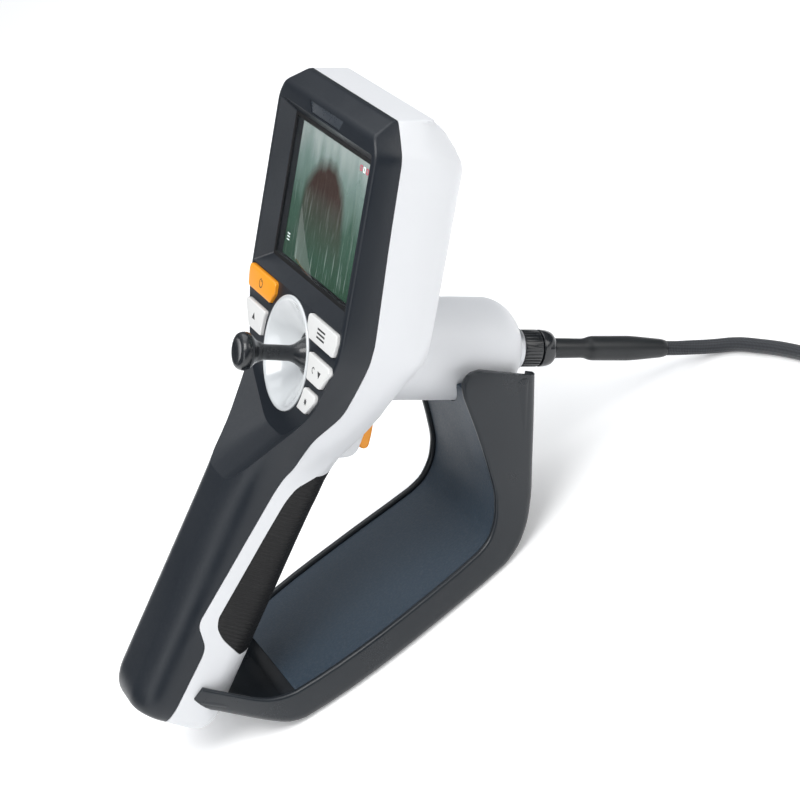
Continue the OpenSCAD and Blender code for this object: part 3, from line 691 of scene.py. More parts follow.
def make_materials():
    tone = bpy.context.scene.camera_finishes
    moulded("Slate plastic", tone.slate, 0.36, grain=2200, depth=0.10, contrast=0.25, dust=0.01,
            shine=0.38)
    moulded("White plastic", tone.white, 0.42, grain=2000, depth=0.06, contrast=0.02, dust=0.02)
    moulded("Guard plastic", tone.guard, 0.33, grain=2200, depth=0.08, contrast=0.25, dust=0.01,
            shine=0.45)
    moulded("Guard lining", tone.guard_inside, 0.55, grain=1500, depth=0.45, contrast=0.9, smudge=0.05)
    ribbed_rubber(tone.rubber)
    moulded("Seal rubber", tone.rubber, 0.55, grain=2500, depth=0.15)
    moulded("Light key", tone.key, 0.40, grain=2600, depth=0.06, contrast=0.02)
    moulded("Orange plastic", tone.orange, 0.36, grain=2600, depth=0.06, contrast=0.05, dust=0.01)
    moulded("Legend", (0.02, 0.02, 0.022), 0.5, grain=3000, depth=0.05)
    moulded("White gloss", tone.dish, 0.14, grain=2600, depth=0.02, contrast=0.02, coat=1.0, smudge=0.06,
            dust=0.01)
    moulded("Dark gloss", tone.stick, 0.26, grain=2600, depth=0.03, coat=0.4, smudge=0.1, dust=0.02)
    moulded("Sleeve rubber", (0.009, 0.011, 0.013), 0.40, grain=2400, depth=0.12, dust=0.01)
    moulded("Battery wrap", (0.03, 0.12, 0.35), 0.3, grain=2600, depth=0.03)
    moulded("Badge", (0.035, 0.042, 0.052), 0.3, grain=2600, depth=0.05)
    turned_metal("Steel", (0.55, 0.56, 0.58), 0.3)
    turned_metal("Nickel", (0.62, 0.61, 0.58), 0.22)
    turned_metal("Tip metal", (0.40, 0.41, 0.43), 0.34)
    circuit_board()
    clear_glass()
    live_picture()
    glowing("Lamp", (0.95, 0.96, 0.9), 0.6)
    glowing("Icon white", (0.85, 0.88, 0.86), 0.9)
    glowing("Icon red", (0.55, 0.03, 0.08), 0.8)
    probe = in_mm(bpy.context.scene.camera_probe)
    woven_sleeve(tone.braid, probe.braid_pitch * MM)


# ---------------------------------------------------------------- repeated pieces
def socket_id(tree, label):
    return next(s.identifier for s in tree.interface.items_tree if s.name == label and s.in_out == "INPUT")


def by_nodes(name, tree, **values):
    """A plain mesh made by a geometry tree, with the tree's inputs set by name."""
    piece = bpy.data.objects.new(name, bpy.data.meshes.new(name))
    bpy.context.scene.collection.objects.link(piece)
    grow = piece.modifiers.new("Build", "NODES")
    grow.node_group = tree
    for key, value in values.items():
        grow[socket_id(tree, key.replace("_", " ").title())] = value
    settle(piece)
    return piece


def ring_of_blocks():
    """Geometry tree: blocks on a circle about z, each turned to face outwards."""
    graph, given, out = new_group("Ring of blocks", [
        ("Count", "NodeSocketInt", 24), ("Radius", "NodeSocketFloat", 0.007),
        ("Width", "NodeSocketFloat", 0.001),
        ("Depth", "NodeSocketFloat", 0.001), ("Length", "NodeSocketFloat", 0.008),
        ("Material", "NodeSocketMaterial", None)], [("Geometry", "NodeSocketGeometry")],
        "GeometryNodeTree")
    ring = graph.add("GeometryNodeMeshCircle",
                     {"Vertices": given["Count"], "Radius": given["Radius"]}).outputs[0]
    block_size = graph.add("ShaderNodeCombineXYZ",
                           {0: given["Depth"], 1: given["Width"], 2: given["Length"]})
    block = graph.add("GeometryNodeMeshCube", {"Size": block_size.outputs[0], "Vertices X": 2,
                                               "Vertices Y": 3, "Vertices Z": 2}).outputs[0]
    spot = graph.add("GeometryNodeInputPosition").outputs[0]
    facing = graph.add("FunctionNodeAlignEulerToVector", {"Vector": spot}, axis="X").outputs[0]
    copies = graph.add("GeometryNodeInstanceOnPoints", {"Points": ring, "Instance": block,
                                                        "Rotation": facing}).outputs[0]
    real = graph.add("GeometryNodeRealizeInstances", {0: copies}).outputs[0]
    done = graph.add("GeometryNodeSetMaterial", {0: real, "Material": given["Material"]}).outputs[0]
    graph.tree.links.new(done, out[0])
    return graph.tree


def grid_of_copies():
    """Geometry tree: copies of an object on a grid in the xy plane."""
    graph, given, out = new_group("Grid of copies", [
        ("Model", "NodeSocketObject", None), ("Count X", "NodeSocketInt", 2),
        ("Count Y", "NodeSocketInt", 2),
        ("Step X", "NodeSocketFloat", 0.01), ("Step Y", "NodeSocketFloat", 0.01),
        ("Material", "NodeSocketMaterial", None)], [("Geometry", "NodeSocketGeometry")],
        "GeometryNodeTree")
    reach = [graph.maths("MULTIPLY", graph.maths("SUBTRACT", given[f"Count {k}"], 1.0),
                         given[f"Step {k}"])
             for k in "XY"]
    grid = graph.add("GeometryNodeMeshGrid", {"Size X": reach[0], "Size Y": reach[1],
                                              "Vertices X": given["Count X"],
                                              "Vertices Y": given["Count Y"]})
    spots = graph.add("GeometryNodeMeshToPoints", {0: grid.outputs[0]}).outputs[0]
    model = graph.add("GeometryNodeObjectInfo", {"Object": given["Model"]}).outputs["Geometry"]
    copies = graph.add("GeometryNodeInstanceOnPoints", {"Points": spots, "Instance": model}).outputs[0]
    real = graph.add("GeometryNodeRealizeInstances", {0: copies}).outputs[0]
    done = graph.add("GeometryNodeSetMaterial", {0: real, "Material": given["Material"]}).outputs[0]
    graph.tree.links.new(done, out[0])
    return graph.tree


def joined(name, *pieces):
    """One piece from several, which are thrown away."""
    work = bmesh.new()
    for piece in pieces:
        work.from_mesh(piece.data)
    mesh = bpy.data.meshes.new(name)
    work.to_mesh(mesh)
    work.free()
    discard(*pieces)
    piece = bpy.data.objects.new(name, mesh)
    bpy.context.scene.collection.objects.link(piece)
    return piece


# ---------------------------------------------------------------- the casing's shape
BODY = "camera_body"
# how far the neck's stations run down the handle, and where they start on the head
NECK_TOP = 14.0
NECK_END = 14.0
CORNER_R = 12.0


def on_grip(front, down):
    """(height, height out of the panel) of a point in the handle's middle plane."""
    c, s = math.cos(GRIP_RAKE), math.sin(GRIP_RAKE)
    return np.array((-GRIP_START + s * front - c * down, -GRIP_SINK + c * front + s * down))


def casing_section(half, deep, blend, inset, narrow=0.0, pinch=0.0):
    """A cross-section: between the head's (blend 0) and the handle's (blend 1). y runs up from the back.
    pinch narrows its back, as under the barrel."""
    q = min(1.0, deep / 34.0)
    head = [(half - 2 * q, deep), (half, deep - 8 * q), (half - 0.5 * q, 0.4 * deep),
            (half - 3 * q, 7 * q),
            (half - 7 * q, 2 * q), (half - 11 * q, 0)]
    r = max(4.0, CORNER_R - inset - narrow)
    lean, turn = r * math.tan(math.pi / 8), r * math.tan(math.pi / 12)
    flat = half - r
    side = r * math.sin(math.pi / 4) / math.cos(math.pi / 12)
    handle = [(flat + lean, deep), (half, deep - r + lean), (half, deep / 2), (half, r - turn),
              (flat + side, r - side), (flat + turn, 0)]
    cuts_head = np.array((1.3, 3.0, 4.0, 3.0, 2.2, 2.0)) * q
    cuts_handle = np.array((lean, lean, 3.0, turn, turn, turn)) * 0.98
    right = (1 - blend) * np.array(head) + blend * np.array(handle)
    right[3:, 0] = np.maximum(right[3:, 0] - pinch * np.array((6, 13, 15)), 3.0)
    cuts = (1 - blend) * cuts_head + blend * cuts_handle
    left = right[::-1] * (-1, 1)
    return eased(np.vstack((right, left)), np.concatenate((cuts, cuts[::-1])), steps=5)


def casing_ring(front, back, half, blend, inset, narrow=0.0, pinch=0.0):
    """A ring of the casing between a front and a back point of the middle plane."""
    deep = np.linalg.norm(front - back)
    section = casing_section(half, deep, blend, inset, narrow, pinch)
    middle = back + (front - back) / deep * section[:, 1:2]
    return np.column_stack((section[:, 0], middle))


def casing_solid(name, sizes, inset=0.0):
    """The outer form of head, neck and handle in one smooth skin, or one moved inwards by inset."""
    top, depth = sizes.head_top - inset, sizes.head_depth
    half_w = sizes.head_w / 2 - inset
    face = eased([(0, -inset), (top - 6, -inset), (top, -8), (top + 1.5, -23)], (0, 1.6, 1.2, 0),
                 closed=False)
    back = eased([(0, inset - depth), (top - 16, inset - depth), (top - 11, inset - depth + 2),
                  (top - 4, inset - depth + 7), (top + 1.5, inset - depth + 15.5)], (0, 2, 2, 3, 0),
                  closed=False)
    grip_half, grip_deep = sizes.grip_w / 2 - inset, sizes.grip_d / 2 - inset
    knee = on_grip(grip_deep, 0)
    neck_face = eased([(NECK_TOP, -inset), (0, -inset), knee, on_grip(grip_deep, NECK_END)],
                      (0, 9, 9, 0), closed=False)
    neck_back = eased([(NECK_TOP, inset - depth), (-22, inset - 37), on_grip(-grip_deep, 0),
                       on_grip(-grip_deep, NECK_END)], (0, 10, 8, 0), closed=False)
    neck_len = np.sum(np.linalg.norm(np.diff(neck_face, axis=0), axis=1))
    width = eased([(-top - 1.5, half_w - 9.5), (-top, half_w - 8), (12 - top, half_w), (-15, half_w),
                   (-1, half_w - 7), (neck_len - 28, grip_half + 0.4), (neck_len, grip_half)],
                  (0, 1.5, 3, 7, 5, 12, 0), closed=False)
    rings = []
    heights = np.concatenate((np.linspace(top + 1.4, top - 0.8, 8), np.linspace(top - 1.4, top - 7.4, 9),
                              np.linspace(top - 8.5, top - 18, 9), np.linspace(top - 24, 20, 8)))
    for v in heights:
        half = np.interp(-v, width[:, 0], width[:, 1])
        rings.append(casing_ring(np.array((v, np.interp(v, face[:, 0], face[:, 1]))),
                                 np.array((v, np.interp(v, back[:, 0], back[:, 1]))), half, 0.0, inset))
    steps = 30
    for i, (f, b) in enumerate(zip(spaced(neck_face, steps), spaced(neck_back, steps))):
        share = i / (steps - 1)
        half = np.interp(-NECK_TOP + share * neck_len, width[:, 0], width[:, 1])
        pinch = math.sin(math.pi * min(1.0, share / 0.9)) ** 1.5
        rings.append(casing_ring(f, b, half, share ** 2 * (3 - 2 * share), inset, pinch=pinch))
    end = sizes.grip_len - inset
    for down in np.linspace(NECK_END + 9, end - 12, 7):
        rings.append(casing_ring(on_grip(grip_deep, down), on_grip(-grip_deep, down), grip_half, 1.0,
                                 inset))
    for a in np.linspace(0, math.pi / 2, 10):
        down, pull = end - 11 + 11 * math.sin(a), 5 * (1 - math.cos(a))
        rings.append(casing_ring(on_grip(grip_deep - pull, down), on_grip(pull - grip_deep, down),
                                 grip_half - pull, 1.0, inset, pull * 0.6))
    return lofted(name, rings, PANEL)


def barrel_solid(name, sizes, inset=0.0):
    reach, r = sizes.barrel_reach - inset, sizes.barrel_r - inset
    dome = 17 - inset
    rim = [(r * math.cos(a), reach - dome + dome * math.sin(a)) for a in np.linspace(0, math.pi / 2, 18)]
    return turned(name, [(0, 22)] + [(r, 22)] + rim, BARREL, sides=128)


# the edge between the front cover and the rear shell, in the panel's side view
SEAM = [(115, -9.5), (60, -10.8), (17, -12.6), (-12, -11), (-25, -4.2), (-34, -2.6), (-39, -1.6),
        (-44, 1.2),
        (-60, 7.2), (-104, 24.8), (-107, 25), (-115, 21.2), (-119, 21.6), (-170, 38)]
SEAM_EASE = [0, 6, 8, 4, 3, 2.4, 2, 2, 5, 1.3, 1.3, 1.8, 1.8, 0]
PAD_EDGE = [(-43, -12.5), (-48, -5), (-54, -1.6), (-103, 17.8), (-107.5, 17.4), (-112, 14.6), (-119, 6)]
PAD_EASE = [0, 2.2, 2.4, 1.6, 1.6, 2.2, 0]
TRIGGER_BLOCK = [(-14, -44), (-22.5, -39.5), (-25.5, -35.2), (-36.6, -32.8), (-38.6, -30), (-39.6, -22),
                 (-46, -16), (-30, -12)]
TRIGGER_SLOT = [(-10, -50), (-60, -50), (-60, -33.4), (-36, -26.5), (-27, -24.5), (-12, -24.5)]
TRIGGER_BLOCK_W = 19.0
TRIGGER_SLOT_W = 10.6
FAR = 200.0


def seam_side(front, gap):
    """A prism that holds all in front of the seam, or all behind it."""
    line = eased(SEAM, SEAM_EASE, steps=5, closed=False) + (0, gap if front else 0)
    edge = [(-170, 120), (115, 120)] if front else [(-170, -120), (115, -120)]
    return side_cut("seam", np.vstack((line, edge)), FAR)


def pad_side(gap):
    line = eased(PAD_EDGE, PAD_EASE, steps=5, closed=False)
    return side_cut("pad", np.vstack((line + (0, -gap), [(-112, -30), (-43, -40)])), 70)


# the sunken key field and the bank round it
FIELD = [(-47, 25.7), (47, 25.7), (47, 6), (34, -14), (9, -31), (-9, -31), (-34, -14), (-47, 6)]
FIELD_EASE = [4, 4, 6, 8, 5, 5, 8, 6]


def key_field_cut(wall=0.0):
    """The space in front of the key field, or that space grown by the thickness of the cover's wall."""
    low = grown(eased(FIELD, FIELD_EASE, steps=5), wall)
    high = grown(low, 14) + (0, -8)
    return lofted("field", [at_height(low, -wall), at_height(high, 24)], PANEL)


def window_outline(panel, grow):
    """The glass's outline, wider than the picture at the sides."""
    half = np.array((panel.screen_w / 2 + 6.5 + grow, panel.screen_h / 2 + 2.5 + grow))
    corners = np.array([(1, 1), (1, -1), (-1, -1), (-1, 1)]) * half + (0, panel.screen_up)
    return eased(corners, 0.8, steps=3)


RECESS_SLOPE = 4.6
RECESS_WALL = 1.4


def recess_cut(panel, grow, low, high):
    slope = RECESS_SLOPE / panel.screen_sink
    rings = [at_height(window_outline(panel, grow + max(0.0, z + panel.screen_sink) * slope), z)
             for z in (low, -panel.screen_sink, high)]
    return lofted("recess", rings, PANEL)


def badge_outline(grow):
    return grown(eased([(-17, 95.6), (17, 95.6), (14, 91.4), (-14, 91.4)], 0.6, steps=3), grow)


KEYS = ("power", "menu", "up", "down", "lamp")
KEY_WIDE = [(18, 22.4), (46.2, 22.4), (47, 20), (45.6, 13.2)]
KEY_LOW = [(44.6, 8.8), (45, 7), (38.6, -1.6)]
KEY_SMALL = [(36, -5), (36.4, -7), (29.6, -14.6)]


def dish_side(radius, low, high, count=5):
    """Points on the circle round the dish, between two heights."""
    v = np.linspace(low, high, count)
    return [(math.sqrt(radius ** 2 - h ** 2), h) for h in v]


def key_outline(name, panel):
    """A key's outline, which follows the dish on its inner side."""
    r = panel.dish_r + 2.6
    if name in ("power", "menu"):
        start = math.sqrt(r ** 2 - KEY_WIDE[0][0] ** 2)
        points = KEY_WIDE + dish_side(r, KEY_WIDE[-1][1], start)
        cuts = [1.6, 0.9, 0.9, 1.6, 0.5] + [0] * 3 + [0.5]
    elif name in ("up", "down"):
        points = KEY_LOW + dish_side(r, KEY_LOW[-1][1], KEY_LOW[0][1])
        cuts = [0.8, 0.8, 1.4, 1.0] + [0] * 3 + [1.0]
    else:
        points = KEY_SMALL + dish_side(r, KEY_SMALL[-1][1], KEY_SMALL[0][1])
        cuts = [0.9, 0.9, 1.6, 1.0] + [0] * 3 + [1.0]
    outline = eased(points, cuts, steps=3)
    if name in ("power", "up"):
        outline = outline[::-1] * (-1, 1)
    return outline


# screws, as places in front of the head's back and of the handle's back
SCREW_HEAD_R = 2.2
SCREW_SEAT = 10.5
GRIP_SCREWS = (10.0, 100.0)


def head_screw_place(panel, sizes):
    """Where the head's two screws enter, z running forwards, halfway between them."""
    height = panel.screen_up + panel.screen_h / 2 + 2.5 + 5.4
    origin = placed((0, height, -sizes.head_depth), PANEL)[0]
    return placing(origin, -RIGHT, UP, -INTO)


class Piece(bpy.types.Operator):
    """Common ground of the operators that build pieces"""
    bl_idname = "camera.piece"
    bl_label = "Piece"
    bl_options = {"REGISTER", "UNDO"}

    def sizes(self, context):
        return (in_mm(context.scene.camera_casing), in_mm(context.scene.camera_panel),
                in_mm(context.scene.camera_guard), in_mm(context.scene.camera_probe))

    def execute(self, context):
        self.build(*self.sizes(context))
        return {"FINISHED"}

    def build(self, casing, panel, guard, probe):
        """Makes the pieces; each operator has its own."""


class CAMERA_OT_casing(Piece):
    """Front cover, rear shell with its barrel, and the blank badge"""
    bl_idname = "camera.casing"
    bl_label = "Casing"

    def build(self, casing, panel, guard, probe):
        self.front(casing, panel)
        self.rear(casing, panel)
        badge = cushion("badge_plate", badge_outline(-0.1), -0.8, -0.2, 0.15, PANEL, steps=3)
        dress(badge, MATERIALS["Badge"], BODY, "badge_plate", slot="badge_dark")

    def front(self, casing, panel):
        cover = carve(casing_solid("front_cover", casing), seam_side(True, casing.part_gap),
                      how="INTERSECT")
        hollow = casing_solid("hollow", casing, casing.wall)
        frame_block = recess_cut(panel, RECESS_WALL, -panel.screen_sink - 0.01, 0.5)
        carve(cover, carve(hollow, frame_block, key_field_cut(casing.wall)))
        tools = [recess_cut(panel, 0, -30, 1), key_field_cut(),
                 prism("badge", badge_outline(0), -0.8, 3, PANEL),
                 prism("dish", circle(panel.dish_r + 0.1, 96), -12, 8, PANEL)]
        tools += [prism(k, grown(key_outline(k, panel), panel.key_gap), -9, 4, PANEL) for k in KEYS]
        carve(cover, *tools)
        dress(cover, MATERIALS["Slate plastic"], BODY, "front_cover", slot="cover_dark", angle=32)

    def rear(self, casing, panel):
        shell = casing_solid("rear_shell", casing)
        block = soften(side_cut("block", eased(TRIGGER_BLOCK, 1.6, steps=3), TRIGGER_BLOCK_W), 1.0, 3, 60)
        carve(shell, barrel_solid("barrel", casing), block, how="UNION")
        carve(shell, seam_side(False, 0), how="INTERSECT")
        hollow = casing_solid("hollow", casing, casing.wall + 1.0)
        carve(hollow, barrel_solid("bore", casing, casing.wall),
              prism("way", circle(casing.barrel_r - casing.wall, 96), 10, 60, BARREL), how="UNION")
        pad_pocket = carve(pad_side(0.0), casing_solid("core", casing, casing.pad_t))
        port = lofted("port",
                      [np.array([(x, 23.7, -27.3), (x, 58.3, -27.3), (x, 58.3, -14.2), (x, 23.7, -14.2)])
                               for x in (-60, -40)], PANEL)
        socket = prism("socket", circle(8.4, 64), 60, 120, BARREL)
        slot = side_cut("slot", eased(TRIGGER_SLOT, 0), TRIGGER_SLOT_W)
        carve(shell, hollow, pad_pocket, port, socket, slot)
        spread = casing.head_w / 2 - 11.5
        place = head_screw_place(panel, casing)
        for side in (-1, 1):
            well = [at_height(circle(SCREW_HEAD_R + 0.15, 40, (side * spread, 0)),
                              z) for z in (-9, SCREW_SEAT)]
            post = [at_height(circle(SCREW_HEAD_R + 1.4, 40, (side * spread, 0)), z) for z in (-2, 13.9)]
            post = carve(lofted("post", post, place), casing_solid("core", casing, 0.4), how="INTERSECT")
            carve(shell, post, how="UNION")
            carve(shell, lofted("well", well, place))
        dress(shell, MATERIALS["White plastic"], BODY, "rear_shell", slot="shell_white", angle=32)


class CAMERA_OT_pad(Piece):
    """Rubber pad on the handle's back"""
    bl_idname = "camera.pad"
    bl_label = "Rubber pad"

    def build(self, casing, panel, guard, probe):
        pad = carve(casing_solid("grip_pad", casing), pad_side(casing.part_gap), how="INTERSECT")
        carve(pad, casing_solid("core", casing, casing.pad_t + 0.02))
        dress(pad, MATERIALS["Rubber"], BODY, "grip_pad", slot="rubber_black", angle=32)


class CAMERA_OT_screen(Piece):
    """Screen with its glass, its dark border, its picture and its small signs"""
    bl_idname = "camera.screen"
    bl_label = "Screen"

    def build(self, casing, panel, guard, probe):
        sink = panel.screen_sink
        glass = cushion("screen_window", window_outline(panel, -1.65), -sink - 1.2, -sink, 0.1, PANEL,
                        steps=2)
        dress(glass, MATERIALS["Screen glass"], BODY, "screen_window", slot="screen_clear")
        half = np.array((panel.screen_w / 2, panel.screen_h / 2))
        corners = np.array([(1, 1), (1, -1), (-1, -1), (-1, 1)])
        centre = np.array((0, panel.screen_up))
        outer, inner = corners * (half + (6.4, 2.4)) + centre, corners * half + centre
        mask = lofted("screen_mask", [at_height(outer, -sink - 1.35), at_height(outer, -sink - 1.6),
                                      at_height(inner, -sink - 1.6), at_height(inner, -sink - 1.35)],
                                      PANEL, ring=True)
        dress(mask, MATERIALS["Legend"], BODY, slot="screen_picture")
        module = prism("screen_panel", corners * (half + (3, 2)) + centre, -sink - 6, -sink - 2.6, PANEL)
        dress(module, MATERIALS["Dark gloss"], BODY, "screen_panel", slot="screen_picture")
        self.picture(inner, -sink - 1.7)
        self.signs(panel, -sink - 1.68)

    def picture(self, corners, height):
        picture = prism("screen_picture", corners, height - 0.5, height, PANEL)
        dress(picture, MATERIALS["Screen picture"], BODY, slot="screen_picture")
        layer = picture.data.uv_layers.new(name="Picture")
        inverse = np.linalg.inv(PANEL)
        low, high = corners.min(axis=0), corners.max(axis=0)
        for loop in picture.data.loops:
            at = placed(picture.data.vertices[loop.vertex_index].co, inverse)[0][:2]
            layer.data[loop.index].uv = (at - low) / (high - low)

    def signs(self, panel, height):
        """Small status signs in the upper right corner and a mark of three bars at the lower left."""
        right, top = panel.screen_w / 2, panel.screen_up + panel.screen_h / 2
        white, red = [], []
        for i, group in enumerate((red, white, red, white)):
            x = right - 12.5 + i * 2.9
            frame_ring = eased([(x, top - 2.2), (x + 1.9, top - 2.2), (x + 1.9, top - 4.4),
                                (x, top - 4.4)], 0.3)
            hole = grown(frame_ring, -0.42)
            group.append(lofted("sign",
                                [at_height(frame_ring, height), at_height(frame_ring, height + 0.06),
                                         at_height(hole, height + 0.06), at_height(hole, height)], PANEL,
                                         ring=True))
        for i in range(3):
            y = panel.screen_up - panel.screen_h / 2 + 6 + i * 1.2
            bar = eased([(-right + 2, y), (-right + 4.6, y), (-right + 4.6, y + 0.5),
                         (-right + 2, y + 0.5)], 0.15)
            white.append(prism("bar", bar, height, height + 0.06, PANEL))
        dress(joined("screen_signs_white", *white), MATERIALS["Icon white"], BODY, slot="screen_picture")
        dress(joined("screen_signs_red", *red), MATERIALS["Icon red"], BODY, slot="screen_picture")


class CAMERA_OT_keys(Piece):
    """The five keys, each with a plain sign on its top"""
    bl_idname = "camera.keys"
    bl_label = "Keys"

    def build(self, casing, panel, guard, probe):
        top = panel.key_proud
        for name in KEYS:
            outline = key_outline(name, panel)
            key = cushion(f"{name}_key", outline, -panel.key_root, top, 0.6, PANEL, steps=4)
            orange = name == "power"
            dress(key, MATERIALS["Orange plastic" if orange else "Light key"], f"{name}_button",
                  f"{name}_key",
                  slot="key_orange" if orange else "key_white")
            middle = (outline.min(axis=0) + outline.max(axis=0)) / 2
            sign = joined(f"{name}_sign", *getattr(self, name)(middle, top))
            dress(sign, MATERIALS["Legend"], f"{name}_button", slot="coupling_black")

    def flat(self, outline, top):
        return prism("mark", np.array(outline, dtype=float), top - 0.15, top + 0.03, PANEL)

    def hoop(self, middle, radius, thick, start, sweep, top):
        a = np.radians(np.linspace(start, start + sweep, 32))
        ray = np.column_stack((np.cos(a), np.sin(a)))
        return self.flat(np.vstack((middle + ray * radius, (middle + ray * (radius - thick))[::-1])), top)

    def bar(self, middle, wide, high, top):
        corners = np.array([(-1, -1), (1, -1), (1, 1), (-1, 1)]) * (wide / 2, high / 2)
        return self.flat(corners + middle, top)

    def power(self, middle, top):
        return [self.hoop(middle, 1.9, 0.45, 118, 304, top), self.bar(middle + (0, 1.3), 0.45, 1.7, top)]

    def menu(self, middle, top):
        return [self.bar(middle + (0, y), 7.5, 0.75, top) for y in (-1.6, 0, 1.6)]

    def arrow(self, middle, way, top):
        return self.flat(np.array([(-1.5, -1.1 * way), (1.5, -1.1 * way),
                                   (0, 1.5 * way)])[::way] + middle, top)

    def up(self, middle, top):
        return [self.arrow(middle, 1, top)]

    def down(self, middle, top):
        return [self.arrow(middle + (2.2, 0), -1, top),
                self.hoop(middle + (-3.4, 0), 1.3, 0.4, 30, 250, top)]

    def lamp(self, middle, top):
        rays = [0.75 + 0.75 * (k % 2) for k in range(16)]
        a = np.radians(np.arange(16) * 22.5)
        star = np.column_stack((np.cos(a), np.sin(a))) * np.array(rays)[:, None]
        return [self.flat(star + middle, top)]


class CAMERA_OT_joystick(Piece):
    """White dish, lever and mushroom knob"""
    bl_idname = "camera.joystick"
    bl_label = "Joystick"

    def build(self, casing, panel, guard, probe):
        r, hole, shaft, knob = panel.dish_r, panel.dish_hole_r, panel.shaft_r, panel.knob_r
        dish = eased([(r, -0.8), (r - 0.1, 0.5), (r - 1.6, 0.75), (14.5, -5.6), (hole + 1.6, -8.0),
                      (hole, -8.6),
                      (hole, -10), (12.8, -10), (17, -8), (r, -3)],
                     (0.2, 0.45, 1.0, 4, 1.2, 0.4, 0.3, 0.3, 1, 0.5), steps=6)
        dress(turned("joystick_dish", dish, PANEL, 128, ring=True), MATERIALS["White gloss"], BODY,
              "joystick_dish", slot="dish_white")
        deep = PIVOT_SINK
        lever = eased([(0, -deep - 10.1), (6.5, -deep - 10.1), (6.5, -deep - 8.5), (2.4, -deep - 8.5),
                       (2.4, -deep - 3.6), (4.4, -deep - 1.8), (4.4, -deep + 1.8), (7.6, -deep + 4.6),
                       (7.3, -deep + 6.6), (3.6, -3.4), (shaft, -1.5), (shaft, 9.4), (shaft + 0.7, 11.3),
                       (0, 11.3)],
                      (0, 0.3, 0.3, 0.4, 0.5, 0.5, 0.5, 0.6, 0.8, 1.8, 1.2, 0.7, 0.2, 0), steps=4,
                      closed=False)
        dress(turned("joystick_lever", lever, PANEL, 64), MATERIALS["Dark gloss"], "stick",
              "joystick_lever",
              slot="stick_dark")
        cap = eased([(0, 11.35), (shaft + 0.9, 11.35), (shaft + 1.3, 12.6), (knob - 2.3, 13.8),
                     (knob, 15.9),
                     (knob, 18.6), (knob - 0.9, 20.1), (knob - 2.4, 20.4), (2.4, 19.9), (0, 19.8)],
                    (0, 0.3, 0.7, 1.2, 1.3, 0.9, 0.7, 0.6, 2.0, 0), steps=5, closed=False)
        dress(turned("joystick_knob", cap, PANEL, 72), MATERIALS["Dark gloss"], "stick", "joystick_knob",
              slot="stick_dark")


class CAMERA_OT_trigger(Piece):
    """Curved trigger blade"""
    bl_idname = "camera.trigger"
    bl_label = "Trigger"
    OUTLINE = [(-15.5, -36), (-19, -37.6), (-23, -39.9), (-28, -40.3), (-32, -40.2), (-36, -39.9),
               (-37.2, -38.2),
               (-36.4, -36), (-34, -34.6), (-30, -35.8), (-26, -35.2), (-22.5, -32.2), (-20.5, -30.2),
               (-17, -30.4)]

    def build(self, casing, panel, guard, probe):
        blade = side_cut("trigger",
                         eased(self.OUTLINE, (1.2, 1.4, 1.6, 1.8, 1.8, 0.9, 0.9, 0.9, 0.9, 1.4, 1.6,
                                                         1.2, 1.0, 1.0), steps=3), 9.0)
        soften(blade, 1.1, 3, 60)
        dress(blade, MATERIALS["Orange plastic"], "trigger_blade", "trigger", slot="key_orange")


# ---------------------------------------------------------------- the guard
GUARD_INNER = [(-74, 33), (-57, 17.5), (-47, 14.3), (0, 13.7), (42, 13.6), (50, 15.2), (57, 20.5),
               (62.5, 29),
               (66.5, 42), (70, 56), (73, 71), (75.5, 76), (80, 77), (84, 75)]
GUARD_INNER_EASE = [0, 5, 4, 0, 4, 3, 4, 4, 5, 5, 1.5, 1.5, 1.5, 0]
GUARD_OUTER = [(-86, 29), (-64, 9), (-55.5, 1.8), (-49, 0), (51, 0), (60, 2.2), (68.5, 7.5), (76, 15.5),
               (82.5, 25),
               (92, 39), (103, 56)]
GUARD_OUTER_EASE = [0, 3, 3, 2.5, 3, 4, 4, 4, 5, 5, 0]
GUARD_PLAN = [(-90, 15), (-78, 19), (-60, 31), (-45, 35), (-20, 38), (10, 38), (45, 36), (62, 33),
              (80, 28.5),
              (104, 25.5)]
MAGNET_ROWS = (3, 2)
MAGNET_STEP = (30.0, 36.0)
MAGNET_T = 4.0


def between(line, start, end):
    """The part of a line from its point nearest to start to its point nearest to end."""
    first, last = (int(np.argmin(np.linalg.norm(line - p, axis=1))) for p in (start, end))
    return line[first:last + 1]


def guard_width(x):
    plan = flowing(GUARD_PLAN, 60)
    return np.interp(x, plan[:, 0], plan[:, 1])


def guard_stations():
    """Pairs of points (inner, outer) along the guard, from the handle round to the barrel."""
    inner = eased(GUARD_INNER, GUARD_INNER_EASE, steps=5, closed=False)
    outer = eased(GUARD_OUTER, GUARD_OUTER_EASE, steps=5, closed=False)
    cuts_in = [inner[0], (-47, 14.3), (42, 13.6), (73, 71), inner[-1]]
    cuts_out = [outer[0], (-49, 0), (51, 0), (101.6, 54), outer[-1]]
    counts = (16, 10, 34, 9)
    pairs = [np.hstack((spaced(between(inner, a, b), n), spaced(between(outer, c, d), n)))
             for a, b, c, d, n in zip(cuts_in, cuts_in[1:], cuts_out, cuts_out[1:], counts)]
    return np.vstack([pairs[0]] + [p[1:] for p in pairs[1:]])


